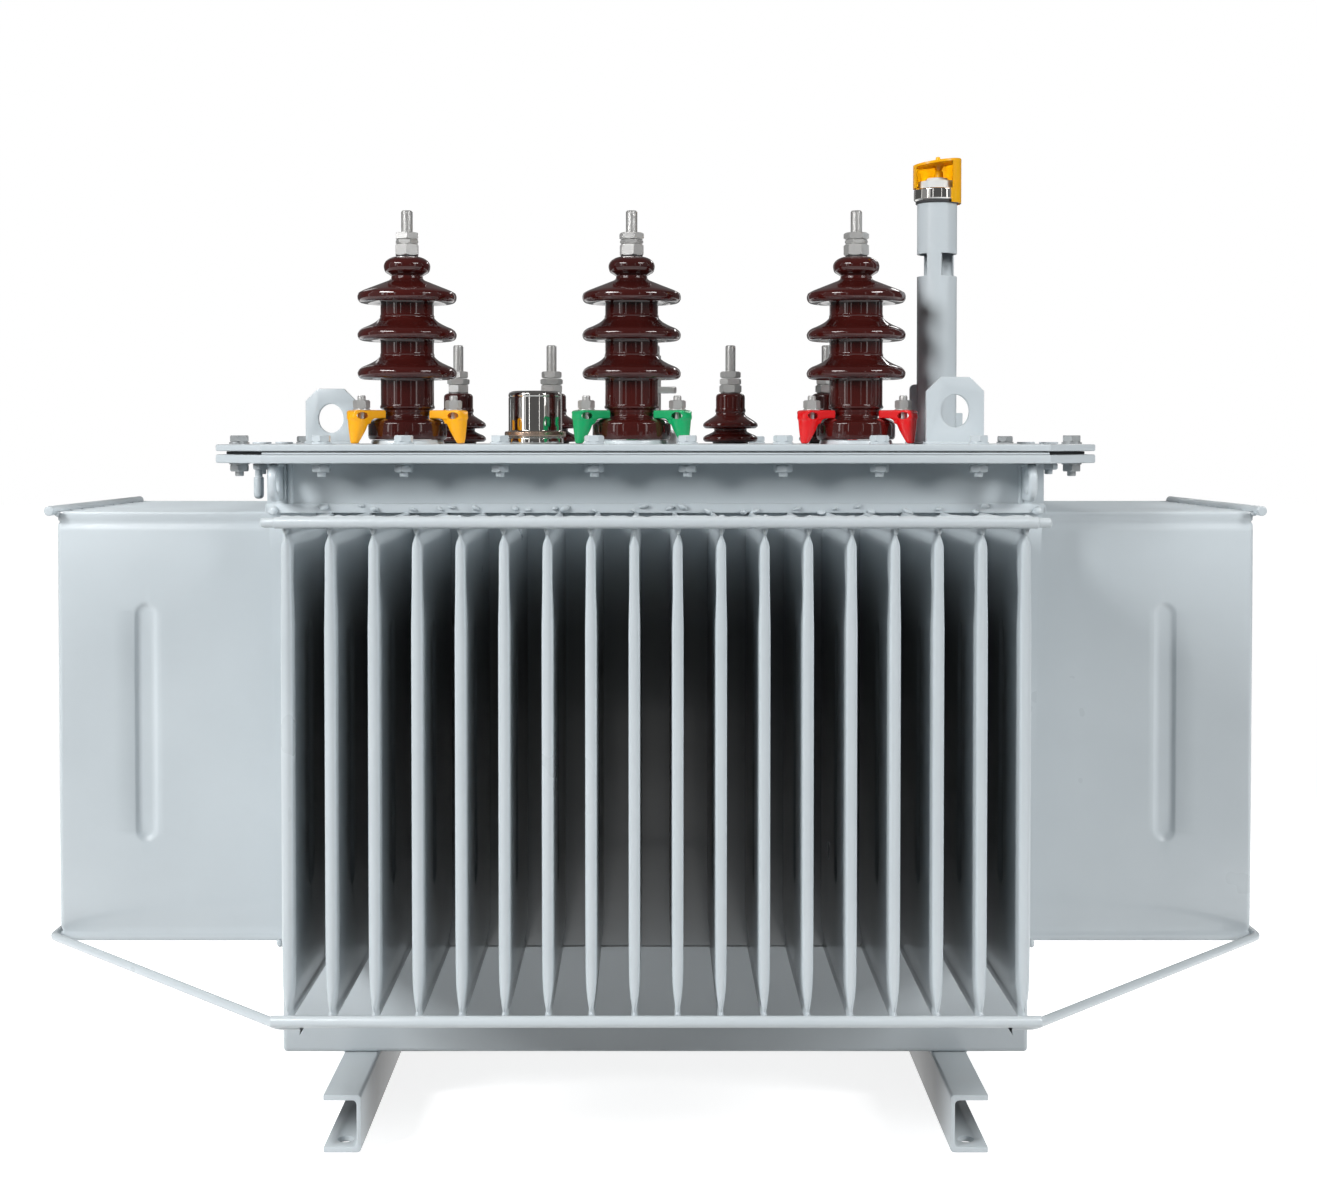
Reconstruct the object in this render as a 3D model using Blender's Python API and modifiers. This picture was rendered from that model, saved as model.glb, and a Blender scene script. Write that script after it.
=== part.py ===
"""Oil-immersed power transformer: a finned tank on two channel feet, with its bushings on the cover.

Metres, +Z up, standing on z = 0. The front (the high-voltage side) faces -Y and +X is to its right.
"""

import math

import bmesh
import bpy
from mathutils import Matrix, Vector

# Clearance left between two pieces that touch.
SEAT_GAP = 0.0003

# Feet: two channels with their webs inwards.
FOOT_HEIGHT = 0.065
FOOT_WIDTH = 0.042
FOOT_WEB = 0.005
FOOT_FLANGE = 0.0065
FOOT_WEB_SPAN = 0.656
FOOT_OVERHANG = 0.141
FOOT_HOLE_DIAMETER = 0.018
FOOT_HOLE_INSET = 0.024

# Tank.
TANK_LENGTH = 0.886
TANK_DEPTH = 0.450
TANK_BAND_HEIGHT = 0.127
TANK_EDGE_RADIUS = 0.005
COLLAR_HEIGHT = 0.058
COLLAR_PROUD_ENDS = 0.014
COLLAR_PROUD_SIDES = 0.007
CORNER_STRIP_THICKNESS = 0.005
CORNER_STRIP_SETBACK = 0.001
CORNER_STRIP_FOOT = 0.0005

# Corrugated walls.
WALL_SHEET = 0.004
WALL_MARGIN = 0.012
FIN_PITCH = 0.045
FIN_THICKNESS = 0.012
FIN_DEPTH = 0.277
FIN_HEIGHT = 0.516
FIN_EDGE_MARGIN = 0.043
FIN_PINCH_LENGTH = 0.018
FIN_PINCH_THICKNESS = 0.003
FIN_TIP_RADIUS = 0.0055

# Tie rods across the fin tips.
ROD_DIAMETER = 0.012
ROD_STUB_DIAMETER = 0.010
ROD_STUB_LENGTH = 0.014
ROD_END_MARGIN = 0.0105
BRACE_LAP = 0.025
BRACE_BEND_RADIUS = 0.016
BRACE_RISE = 0.003
BRACE_TUCK_ANGLE = 52.0

# Flange, gasket and cover.
FLANGE_THICKNESS = 0.010
GASKET_THICKNESS = 0.004
GASKET_INSET_ENDS = 0.012
GASKET_INSET_SIDES = 0.003
COVER_THICKNESS = 0.008
COVER_OVERHANG_ENDS = 0.076
COVER_OVERHANG_SIDES = 0.067
COVER_CORNER_CHAMFER = 0.067

# Lifting lugs on the cover and on the collar.
COVER_LUG_WIDTH = 0.0695
COVER_LUG_THICKNESS = 0.010
COVER_LUG_CHAMFER = 0.017
COVER_LUG_EYE_WIDTH = 0.035
COVER_LUG_EYE_HEIGHT = 0.040
COVER_LUG_EYE_DROP = 0.041
RIGHT_LUG_HEIGHT = 0.081
RIGHT_LUG_END_INSET = 0.158
RIGHT_LUG_EDGE_INSET = 0.117
LEFT_LUG_HEIGHT = 0.076
LEFT_LUG_END_INSET = 0.071
LEFT_LUG_EDGE_INSET = 0.140
TANK_LUG_INSET_LEFT = 0.001
TANK_LUG_INSET_RIGHT = 0.008
TANK_LUG_REACH = 0.050
TANK_LUG_HEIGHT = 0.044
TANK_LUG_THICKNESS = 0.010
TANK_LUG_EYE = 0.023
TANK_LUG_CORNER = 0.020

# High-voltage bushings.
HV_PITCH = 0.2776
HV_ROW_X = -0.0293
HV_EDGE_INSET = 0.175
HV_SHED_RADIUS = 0.0606
HV_CORE_RADIUS = 0.0327
HV_BASE_RADIUS = 0.0484
HV_GROOVE_RADIUS = 0.0293
HV_CAP_RADIUS = 0.0283
HV_NECK_RADIUS = 0.0186
HV_RIM_HEIGHTS = (0.1830, 0.1350, 0.0875)
HV_RIM_THICKNESS = 0.011
HV_SHED_RISE = 0.013
HV_BOSS_HEIGHT = 0.0052
HV_BOSS_RADIUS = 0.0440
HV_BASE_TOP = 0.0282
HV_SHOULDER_TOP = 0.0310
HV_GROOVE_TOP = 0.0440
HV_CAP_BOTTOM = 0.2080
HV_CAP_TOP = 0.2310
HV_STUD_DIAMETER = 0.0142
HV_STUD_TOP = 0.2880
HV_NUT_WIDTH = 0.0275
HV_NUT_TOP = 0.2607
HV_STEPS = 24

# Claw clamps, three to a high-voltage bushing.
CLAW_AZIMUTHS = ((-22.0, 98.0, 218.0), (-29.0, 91.0, 211.0), (-33.0, 87.0, 207.0))
CLAW_WIDTH = 0.022
CLAW_TIP_GAP = 0.0006
CLAW_FINGER_HEIGHT = 0.012
CLAW_HEEL_GAP = 0.0116
CLAW_BACK_THICKNESS = 0.018
CLAW_FOOT_GAP = 0.0196
CLAW_FOOT_LENGTH = 0.007

# Low-voltage bushings.
LV_POSITIONS = (-0.266, -0.140, 0.102, 0.232)
LV_REAR_INSET = 0.197
LV_SHED_RADIUS = 0.0370
LV_NECK_RADIUS = 0.0217
LV_CAP_RADIUS = 0.0194
LV_UPPER_RIM = 0.0250
LV_LOWER_RIM = 0.0070
LV_RIM_THICKNESS = 0.009
LV_CAP_BOTTOM = 0.0460
LV_CAP_TOP = 0.0680
LV_STUD_DIAMETER = 0.0138
LV_STUD_TOP = 0.1328
LV_NUT_WIDTH = 0.0265
LV_NUT_TOP = 0.0978
LV_STEPS = 20

# Tap switch behind the middle bushing.
TAP_X = 0.001
TAP_BASE_RADIUS = 0.028
TAP_BASE_HEIGHT = 0.020
TAP_POST_RADIUS = 0.0070
TAP_HANDLE_LENGTH = 0.054
TAP_HANDLE_WIDTH = 0.016
TAP_HANDLE_BOTTOM = 0.068
TAP_HANDLE_TOP = 0.077

# Pressure relief cap.
RELIEF_X = -0.151
RELIEF_EDGE_INSET = 0.214
RELIEF_RADIUS = 0.034
RELIEF_HEIGHT = 0.0668
RELIEF_FLANGE_RADIUS = 0.038
RELIEF_FLANGE_HEIGHT = 0.015

# Filler pipe with its cap.
FILLER_END_INSET = 0.165
FILLER_EDGE_INSET = 0.214
FILLER_RADIUS = 0.0248
FILLER_WALL = 0.003
FILLER_HEIGHT = 0.3047
FILLER_WINDOW_BOTTOM = 0.210
FILLER_WINDOW_TOP = 0.238
FILLER_WINDOW_DEPTH = 0.0106
FILLER_WINDOW_TURNS = (177.0, -32.0)
FILLER_RIB_REACH = 0.009
FILLER_RIB_THICKNESS = 0.006
FILLER_RIB_HEIGHT = 0.075
RING_OVERHANG = 0.0036
RING_HEIGHT = 0.0165
PLUG_STEP = 0.0059
PLUG_HEIGHT = 0.012
HOOD_WALL = 0.003
HOOD_TOP_RISE = 0.0387
HOOD_LEG_WIDTH = 0.016
HOOD_RIM_LOW = 0.003
HOOD_RIM_HIGH = 0.015

# Heights of the stack, from the ground up.
TANK_BOTTOM = FOOT_HEIGHT + SEAT_GAP
WALL_BOTTOM = TANK_BOTTOM + TANK_BAND_HEIGHT
WALL_TOP = WALL_BOTTOM + FIN_HEIGHT
COLLAR_TOP = WALL_TOP + COLLAR_HEIGHT
FLANGE_TOP = COLLAR_TOP + FLANGE_THICKNESS
GASKET_TOP = FLANGE_TOP + GASKET_THICKNESS
COVER_TOP = GASKET_TOP + COVER_THICKNESS

# Plan sizes that follow from the tank.
HALF_LENGTH = TANK_LENGTH / 2
HALF_DEPTH = TANK_DEPTH / 2
COVER_HALF_LENGTH = HALF_LENGTH + COVER_OVERHANG_ENDS
COVER_HALF_DEPTH = HALF_DEPTH + COVER_OVERHANG_SIDES
COLLAR_HALF_LENGTH = HALF_LENGTH + COLLAR_PROUD_ENDS
COLLAR_HALF_DEPTH = HALF_DEPTH + COLLAR_PROUD_SIDES
ROD_OFFSET = FIN_DEPTH + ROD_DIAMETER / 2 + SEAT_GAP
BRACE_OFFSET = FIN_DEPTH + ROD_STUB_DIAMETER / 2 + SEAT_GAP
HV_ROW_Y = HV_EDGE_INSET - COVER_HALF_DEPTH
LV_ROW_Y = COVER_HALF_DEPTH - LV_REAR_INSET
RING_RADIUS = FILLER_RADIUS + RING_OVERHANG
PLUG_RADIUS = RING_RADIUS - PLUG_STEP


def clear_scene():
    for old in list(bpy.data.objects):
        bpy.data.objects.remove(old, do_unlink=True)
    for old in list(bpy.data.collections):
        bpy.data.collections.remove(old)


def new_collection(name):
    collection = bpy.data.collections.new(name)
    bpy.context.scene.collection.children.link(collection)
    return collection


def principled(name, colour, metallic, roughness):
    material = bpy.data.materials.new(name)
    material.use_nodes = True
    shader = material.node_tree.nodes["Principled BSDF"]
    shader.inputs["Base Color"].default_value = (*colour, 1.0)
    shader.inputs["Metallic"].default_value = metallic
    shader.inputs["Roughness"].default_value = roughness
    return material


clear_scene()
PIECES = new_collection("power_transformer")
HELPERS = new_collection("cutters")
PAINT = principled("bluish_grey_paint", (0.53, 0.58, 0.62), 0.0, 0.35)
PORCELAIN = principled("brown_glaze", (0.045, 0.010, 0.008), 0.0, 0.12)
ZINC = principled("zinc_steel", (0.62, 0.62, 0.61), 1.0, 0.35)
CHROME = principled("polished_cap", (0.80, 0.80, 0.80), 1.0, 0.08)
RUBBER = principled("gasket_rubber", (0.03, 0.03, 0.035), 0.0, 0.7)
AMBER = principled("amber_plastic", (0.90, 0.42, 0.02), 0.0, 0.2)
CLAW_YELLOW = principled("yellow_paint", (0.85, 0.45, 0.01), 0.0, 0.3)
CLAW_GREEN = principled("green_paint", (0.0, 0.33, 0.13), 0.0, 0.3)
CLAW_RED = principled("red_paint", (0.62, 0.01, 0.012), 0.0, 0.3)


def add_object(name, mesh, material=None, location=(0, 0, 0), turn=0.0):
    """Puts a mesh in the scene as a piece, or as a hidden helper where it has no material."""
    piece = bpy.data.objects.new(name, mesh)
    piece.location = location
    piece.rotation_euler = (0.0, 0.0, math.radians(turn))
    if material is None:
        HELPERS.objects.link(piece)
        piece.hide_render = True
        piece.display_type = "WIRE"
    else:
        mesh.materials.append(material)
        PIECES.objects.link(piece)
    return piece


def box_bmesh(low, high):
    low = Vector(low)
    size = Vector(high) - low
    shape = bmesh.new()
    bmesh.ops.create_cube(shape, size=1.0)
    for vert in shape.verts:
        vert.co = Vector((low[i] + (vert.co[i] + 0.5) * size[i] for i in range(3)))
    return shape


def mesh_from(shape, name):
    bmesh.ops.recalc_face_normals(shape, faces=shape.faces)
    mesh = bpy.data.meshes.new(name)
    shape.to_mesh(mesh)
    shape.free()
    return mesh


def box_mesh(name, low, high):
    return mesh_from(box_bmesh(low, high), name)


def bevel_edges(shape, chosen, width, segments):
    edges = [edge for edge in shape.edges if chosen(edge)]
    bmesh.ops.bevel(
        shape, geom=edges, offset=width, segments=segments, affect="EDGES", profile=0.5
    )


def is_vertical(edge):
    along = edge.verts[0].co - edge.verts[1].co
    return abs(along.x) < 1e-6 and abs(along.y) < 1e-6


def cylinder_mesh(name, radius, low, high, sides):
    shape = bmesh.new()
    bmesh.ops.create_cone(
        shape, cap_ends=True, segments=sides, radius1=radius, radius2=radius, depth=high - low
    )
    bmesh.ops.translate(shape, verts=shape.verts, vec=(0, 0, (low + high) / 2))
    return mesh_from(shape, name)


def smooth_mesh(mesh, angle=35.0):
    mesh.shade_smooth()
    mesh.set_sharp_from_angle(angle=math.radians(angle))


def cut(piece, cutter, operation="DIFFERENCE"):
    modifier = piece.modifiers.new(cutter.name, "BOOLEAN")
    modifier.operation = operation
    modifier.solver = "EXACT"
    modifier.object = cutter


def turned(name, profile, steps, material, location=(0, 0, 0), closed=False):
    """A solid of revolution about Z. The profile holds (radius, height) pairs, down its outer side."""
    mesh = bpy.data.meshes.new(name)
    last = len(profile) - 1
    edges = [(i, i + 1) for i in range(last)]
    if closed:
        edges.append((last, 0))
    mesh.from_pydata([(radius, 0.0, height) for radius, height in profile], edges, [])
    piece = add_object(name, mesh, material, location)
    screw = piece.modifiers.new("Screw", "SCREW")
    screw.steps = steps
    screw.render_steps = steps
    screw.use_merge_vertices = True
    screw.merge_threshold = 0.0001
    screw.use_smooth_shade = True
    return piece


def outline_mesh(name, outlines, thickness, matrix):
    """A flat plate. Each outline is a ring of (x, y) points; the first is the edge, the others are holes."""
    curve = bpy.data.curves.new(name, "CURVE")
    curve.dimensions = "2D"
    curve.fill_mode = "BOTH"
    curve.extrude = thickness / 2
    for outline in outlines:
        spline = curve.splines.new("POLY")
        spline.points.add(len(outline) - 1)
        for point, (x, y) in zip(spline.points, outline):
            point.co = (x, y, 0.0, 1.0)
        spline.use_cyclic_u = True
    return mesh_of_curve(curve, name, matrix)


def tube_mesh(name, path, diameter):
    """A round bar along a path of points."""
    curve = bpy.data.curves.new(name, "CURVE")
    curve.dimensions = "3D"
    curve.bevel_depth = diameter / 2
    curve.bevel_resolution = 3
    curve.use_fill_caps = True
    spline = curve.splines.new("POLY")
    spline.points.add(len(path) - 1)
    for point, place in zip(spline.points, path):
        point.co = (*place, 1.0)
    return mesh_of_curve(curve, name, Matrix.Identity(4))


def mesh_of_curve(curve, name, matrix):
    guide = bpy.data.objects.new(name + "_curve", curve)
    HELPERS.objects.link(guide)
    guide.hide_render = True
    bpy.context.view_layer.update()
    evaluated = guide.evaluated_get(bpy.context.evaluated_depsgraph_get())
    mesh = bpy.data.meshes.new_from_object(evaluated)
    bpy.data.objects.remove(guide)
    shape = bmesh.new()
    shape.from_mesh(mesh)
    bpy.data.meshes.remove(mesh)
    bmesh.ops.remove_doubles(shape, verts=shape.verts, dist=0.00001)
    bmesh.ops.transform(shape, matrix=matrix, verts=shape.verts)
    return mesh_from(shape, name)


def rounded_path(corners, radius, steps):
    """The same path with each inner corner turned into an arc."""
    corners = [Vector(corner) for corner in corners]
    path = [corners[0]]
    for before, corner, after in zip(corners, corners[1:], corners[2:]):
        back = (before - corner).normalized()
        ahead = (after - corner).normalized()
        half_angle = back.angle(ahead) / 2
        inset = radius / math.tan(half_angle)
        centre = corner + (back + ahead).normalized() * radius / math.sin(half_angle)
        start = (corner + back * inset - centre).normalized()
        finish = (corner + ahead * inset - centre).normalized()
        for i in range(steps + 1):
            path.append(centre + start.slerp(finish, i / steps) * radius)
    path.append(corners[-1])
    return path


def ellipse(x, y, width, height, count=20):
    turns = [2 * math.pi * i / count for i in range(count)]
    return [(x + width / 2 * math.cos(turn), y + height / 2 * math.sin(turn)) for turn in turns]


def fin_count(length):
    return int((length - 2 * FIN_EDGE_MARGIN) / FIN_PITCH + 1e-6) + 1


def fin_row_half(length):
    return (fin_count(length) - 1) * FIN_PITCH / 2


def wall_half(length):
    """Half the width of a corrugated wall's sheet: its row of fins and a margin beyond the last one."""
    return fin_row_half(length) + FIN_THICKNESS / 2 + WALL_MARGIN


def make_feet():
    half_run = HALF_DEPTH + FOOT_OVERHANG
    inner = FOOT_WEB_SPAN / 2
    outer = inner + FOOT_WIDTH
    hole_x = inner + FOOT_WIDTH / 2
    section = [
        (inner, 0.0),
        (outer, 0.0),
        (outer, FOOT_FLANGE),
        (inner + FOOT_WEB, FOOT_FLANGE),
        (inner + FOOT_WEB, FOOT_HEIGHT - FOOT_FLANGE),
        (outer, FOOT_HEIGHT - FOOT_FLANGE),
        (outer, FOOT_HEIGHT),
        (inner, FOOT_HEIGHT),
    ]
    stand_up = Matrix.Rotation(math.radians(90), 4, "X")
    for name, turn in (("foot_channel_right", 0.0), ("foot_channel_left", 180.0)):
        mesh = outline_mesh(name, [section], 2 * half_run, stand_up)
        foot = add_object(name, mesh, PAINT, turn=turn)
        for end in (-1, 1):
            hole = cylinder_mesh("foot_hole", FOOT_HOLE_DIAMETER / 2, -0.01, FOOT_HEIGHT / 2, 16)
            place = Matrix.Rotation(math.radians(turn), 4, "Z") @ Vector(
                (hole_x, end * (half_run - FOOT_HOLE_INSET), 0.0)
            )
            cut(foot, add_object(f"{name}_hole_{end + 2}", hole, location=place))


def make_tank():
    low = (-HALF_LENGTH, -HALF_DEPTH, TANK_BOTTOM)
    high = (HALF_LENGTH, HALF_DEPTH, WALL_TOP)
    shape = box_bmesh(low, high)
    bevel_edges(
        shape,
        lambda edge: is_vertical(edge) or max(v.co.z for v in edge.verts) < WALL_BOTTOM,
        TANK_EDGE_RADIUS,
        3,
    )
    body = add_object("tank_body", mesh_from(shape, "tank_body"), PAINT)
    # Each corrugated wall stands in a recess, so the four corners belong to the body.
    for name, length, plane, turn in (
        ("front", TANK_LENGTH, HALF_DEPTH, 0.0),
        ("back", TANK_LENGTH, HALF_DEPTH, 180.0),
        ("right", TANK_DEPTH, HALF_LENGTH, 90.0),
        ("left", TANK_DEPTH, HALF_LENGTH, -90.0),
    ):
        half = wall_half(length) + SEAT_GAP
        low = (-half, -plane - WALL_SHEET, WALL_BOTTOM - SEAT_GAP)
        high = (half, -plane + WALL_SHEET + SEAT_GAP, WALL_TOP + WALL_SHEET)
        recess = box_mesh("recess_" + name, low, high)
        cut(body, add_object("recess_" + name, recess, turn=turn))
    # Tapered strips stiffen the corners: they grow towards the collar.
    inner = HALF_LENGTH - 2 * TANK_EDGE_RADIUS
    outline = [
        (inner, WALL_BOTTOM),
        (HALF_LENGTH + CORNER_STRIP_FOOT, WALL_BOTTOM),
        (COLLAR_HALF_LENGTH, WALL_TOP),
        (inner, WALL_TOP),
    ]
    stand_up = Matrix.Rotation(math.radians(90), 4, "X")
    strip_y = HALF_DEPTH - CORNER_STRIP_SETBACK - CORNER_STRIP_THICKNESS / 2
    for face, y in (("front", -strip_y), ("back", strip_y)):
        for side, turn in (("right", 0.0), ("left", 180.0)):
            mesh = outline_mesh("corner_strip", [outline], CORNER_STRIP_THICKNESS, stand_up)
            name = f"corner_strip_{face}_{side}"
            cut(body, add_object(name, mesh, location=(0.0, y, 0.0), turn=turn), "UNION")

    low = (-COLLAR_HALF_LENGTH, -COLLAR_HALF_DEPTH, WALL_TOP + SEAT_GAP)
    high = (COLLAR_HALF_LENGTH, COLLAR_HALF_DEPTH, COLLAR_TOP - SEAT_GAP)
    add_object("tank_collar", box_mesh("tank_collar", low, high), PAINT)


def fin_mesh():
    """One hollow fin as a solid, standing on y = 0 and reaching to y = -FIN_DEPTH."""
    root = WALL_SHEET / 2
    shape = box_bmesh(
        (-FIN_THICKNESS / 2, -FIN_DEPTH, WALL_BOTTOM),
        (FIN_THICKNESS / 2, root, WALL_TOP),
    )
    bevel_edges(
        shape,
        lambda edge: is_vertical(edge) and edge.verts[0].co.y < -FIN_DEPTH / 2,
        FIN_TIP_RADIUS,
        3,
    )
    for height in (WALL_BOTTOM + FIN_PINCH_LENGTH, WALL_TOP - FIN_PINCH_LENGTH):
        bmesh.ops.bisect_plane(
            shape,
            geom=shape.verts[:] + shape.edges[:] + shape.faces[:],
            plane_co=(0, 0, height),
            plane_no=(0, 0, 1),
        )
    for vert in shape.verts:
        if not WALL_BOTTOM + 1e-5 < vert.co.z < WALL_TOP - 1e-5:
            vert.co.x *= FIN_PINCH_THICKNESS / FIN_THICKNESS
    return mesh_from(shape, "fin")


def make_fin_wall(name, length, wall_plane, turn):
    """A corrugated wall: its sheet, and a row of fins in one piece with it."""
    place = Matrix.Rotation(math.radians(turn), 4, "Z") @ Vector((0.0, -wall_plane, 0.0))
    low = (-wall_half(length), 0.0, WALL_BOTTOM)
    high = (wall_half(length), WALL_SHEET, WALL_TOP)
    wall = add_object(name, box_mesh(name, low, high), PAINT, place, turn)
    fins = add_object(name + "_fins", fin_mesh(), None, place, turn)
    row = fins.modifiers.new("Row", "ARRAY")
    row.use_relative_offset = False
    row.use_constant_offset = True
    row.constant_offset_displace = (FIN_PITCH, 0.0, 0.0)
    row.count = fin_count(length)
    for vert in fins.data.vertices:
        vert.co.x -= fin_row_half(length)
    cut(wall, fins, "UNION")


def make_fin_walls():
    make_fin_wall("fins_front", TANK_LENGTH, HALF_DEPTH, 0.0)
    make_fin_wall("fins_back", TANK_LENGTH, HALF_DEPTH, 180.0)
    make_fin_wall("fins_right", TANK_DEPTH, HALF_LENGTH, 90.0)
    make_fin_wall("fins_left", TANK_DEPTH, HALF_LENGTH, -90.0)


def make_rod(name, half_length, stub, location, direction):
    """A straight tie rod with a thinner rounded stub at each end."""
    radius = ROD_DIAMETER / 2
    stub_radius = ROD_STUB_DIAMETER / 2
    end = half_length + stub
    upper = [
        (0.0, end),
        (stub_radius * 0.7, end - stub_radius * 0.2),
        (stub_radius, end - stub_radius * 0.8),
        (stub_radius, half_length),
        (radius, half_length),
    ]
    profile = upper + [(r, -h) for r, h in reversed(upper)]
    rod = turned(name, profile, 12, PAINT, location)
    if direction == "X":
        rod.rotation_euler = (0.0, math.radians(90), 0.0)
    else:
        rod.rotation_euler = (math.radians(90), 0.0, 0.0)


def make_rods():
    front = HALF_DEPTH + ROD_OFFSET
    side = HALF_LENGTH + ROD_OFFSET
    long_half = fin_row_half(TANK_LENGTH) + ROD_END_MARGIN
    short_half = fin_row_half(TANK_DEPTH) + ROD_END_MARGIN
    for face, y in (("front", -front), ("back", front)):
        make_rod(f"top_rod_{face}", long_half, ROD_STUB_LENGTH, (0, y, WALL_TOP), "X")
        make_rod(f"bottom_rod_{face}", long_half, ROD_DIAMETER / 2, (0, y, WALL_BOTTOM), "X")
    # The lap lies against the front or back rod, tucked in below it.
    spacing = ROD_DIAMETER / 2 + ROD_STUB_DIAMETER / 2 + SEAT_GAP
    tuck = math.radians(BRACE_TUCK_ANGLE)
    lap_y = front - spacing * math.sin(tuck)
    lap_z = WALL_BOTTOM - spacing * math.cos(tuck)
    tip_z = WALL_BOTTOM + BRACE_RISE
    for face, outward in (("left", -1), ("right", 1)):
        place = (outward * side, 0, WALL_TOP)
        make_rod(f"top_rod_{face}", short_half, ROD_DIAMETER / 2, place, "Y")
        # The lower side rod bends in at both ends and laps under the front and back rods.
        x = outward * (HALF_LENGTH + BRACE_OFFSET)
        lap_end = outward * (long_half - BRACE_LAP)
        corners = [
            (lap_end, -lap_y, lap_z),
            (outward * long_half, -lap_y, lap_z),
            (x, -short_half, tip_z),
            (x, short_half, tip_z),
            (outward * long_half, lap_y, lap_z),
            (lap_end, lap_y, lap_z),
        ]
        path = rounded_path(corners, BRACE_BEND_RADIUS, 4)
        mesh = tube_mesh(f"bottom_brace_{face}", path, ROD_STUB_DIAMETER)
        smooth_mesh(mesh)
        add_object(f"bottom_brace_{face}", mesh, PAINT)


def plate_mesh(name, half_x, half_y, chamfer, low, high):
    shape = box_bmesh((-half_x, -half_y, low), (half_x, half_y, high))
    bevel_edges(shape, is_vertical, chamfer, 1)
    return mesh_from(shape, name)


def make_cover():
    flange = plate_mesh(
        "tank_flange",
        COVER_HALF_LENGTH,
        COVER_HALF_DEPTH,
        COVER_CORNER_CHAMFER,
        COLLAR_TOP,
        FLANGE_TOP,
    )
    add_object("tank_flange", flange, PAINT)
    gasket = plate_mesh(
        "cover_gasket",
        COVER_HALF_LENGTH - GASKET_INSET_ENDS,
        COVER_HALF_DEPTH - GASKET_INSET_SIDES,
        COVER_CORNER_CHAMFER,
        FLANGE_TOP + SEAT_GAP,
        GASKET_TOP - SEAT_GAP,
    )
    add_object("cover_gasket", gasket, RUBBER)
    plate = plate_mesh(
        "cover",
        COVER_HALF_LENGTH,
        COVER_HALF_DEPTH,
        COVER_CORNER_CHAMFER,
        GASKET_TOP,
        COVER_TOP,
    )
    cover = add_object("cover", plate, PAINT)
    for name, x in hv_bushings():
        low = -COVER_THICKNESS / 2
        boss = cylinder_mesh("hv_boss", HV_BOSS_RADIUS, low, HV_BOSS_HEIGHT, HV_STEPS)
        place = (x, HV_ROW_Y, COVER_TOP)
        cut(cover, add_object(f"{name}_boss", boss, location=place), "UNION")


def make_cover_lug(name, height, x, y):
    half = COVER_LUG_WIDTH / 2
    bottom = SEAT_GAP
    shoulder = height - COVER_LUG_CHAMFER
    plate = [
        (-half, bottom),
        (half, bottom),
        (half, shoulder),
        (half - COVER_LUG_CHAMFER, height),
        (-half + COVER_LUG_CHAMFER, height),
        (-half, shoulder),
    ]
    eye_height = height - COVER_LUG_EYE_DROP
    eye = ellipse(0.0, eye_height, COVER_LUG_EYE_WIDTH, COVER_LUG_EYE_HEIGHT)
    stand_up = Matrix.Rotation(math.radians(90), 4, "X")
    mesh = outline_mesh(name, [plate, eye], COVER_LUG_THICKNESS, stand_up)
    add_object(name, mesh, PAINT, (x, y, COVER_TOP))


def make_tank_lugs():
    """Four flat lugs stand out from the collar under the flange, in line with the tank's ends."""
    reach = TANK_LUG_REACH
    height = TANK_LUG_HEIGHT
    corner = TANK_LUG_CORNER
    arc = [
        (
            -reach + corner - corner * math.cos(math.radians(angle)),
            -height + corner - corner * math.sin(math.radians(angle)),
        )
        for angle in range(0, 91, 18)
    ]
    outline = [(0.0, 0.0), (-reach, 0.0)] + arc + [(0.0, -height)]
    eye = ellipse(-reach + corner, -height / 2, TANK_LUG_EYE, TANK_LUG_EYE, 16)
    into_yz = Matrix.Rotation(math.radians(90), 4, "Z") @ Matrix.Rotation(math.radians(90), 4, "X")
    left_x = TANK_LUG_INSET_LEFT - HALF_LENGTH
    right_x = HALF_LENGTH - TANK_LUG_INSET_RIGHT
    for name, x, turn in (
        ("tank_lug_front_left", left_x, 0.0),
        ("tank_lug_front_right", right_x, 0.0),
        ("tank_lug_back_left", left_x, 180.0),
        ("tank_lug_back_right", right_x, 180.0),
    ):
        mesh = outline_mesh(name, [outline, eye], TANK_LUG_THICKNESS, into_yz)
        facing = -1.0 if turn == 0.0 else 1.0
        y = facing * (COLLAR_HALF_DEPTH + SEAT_GAP)
        add_object(name, mesh, PAINT, (x, y, COLLAR_TOP - SEAT_GAP), turn)


def make_lugs():
    right = (COVER_HALF_LENGTH - RIGHT_LUG_END_INSET, RIGHT_LUG_EDGE_INSET - COVER_HALF_DEPTH)
    left = (LEFT_LUG_END_INSET - COVER_HALF_LENGTH, COVER_HALF_DEPTH - LEFT_LUG_EDGE_INSET)
    make_cover_lug("cover_lug_right", RIGHT_LUG_HEIGHT, *right)
    make_cover_lug("cover_lug_left", LEFT_LUG_HEIGHT, *left)
    make_tank_lugs()


def hv_bushings():
    names = ("hv_left", "hv_middle", "hv_right")
    return [(name, HV_ROW_X + (i - 1) * HV_PITCH) for i, name in enumerate(names)]


def shed_profile(rim_height, rim_thickness, rim_radius, core_radius, rise):
    """The outline of one shed, from the core above it to the core below it."""
    top = rim_height + rim_thickness / 2
    bottom = rim_height - rim_thickness / 2
    return [
        (core_radius, top + rise),
        (core_radius + (rim_radius - core_radius) * 0.35, top + rise * 0.35),
        (rim_radius - rim_thickness * 0.25, top),
        (rim_radius, rim_height),
        (rim_radius - rim_thickness * 0.25, bottom),
        (core_radius, bottom + rise * 0.15),
    ]


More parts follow.
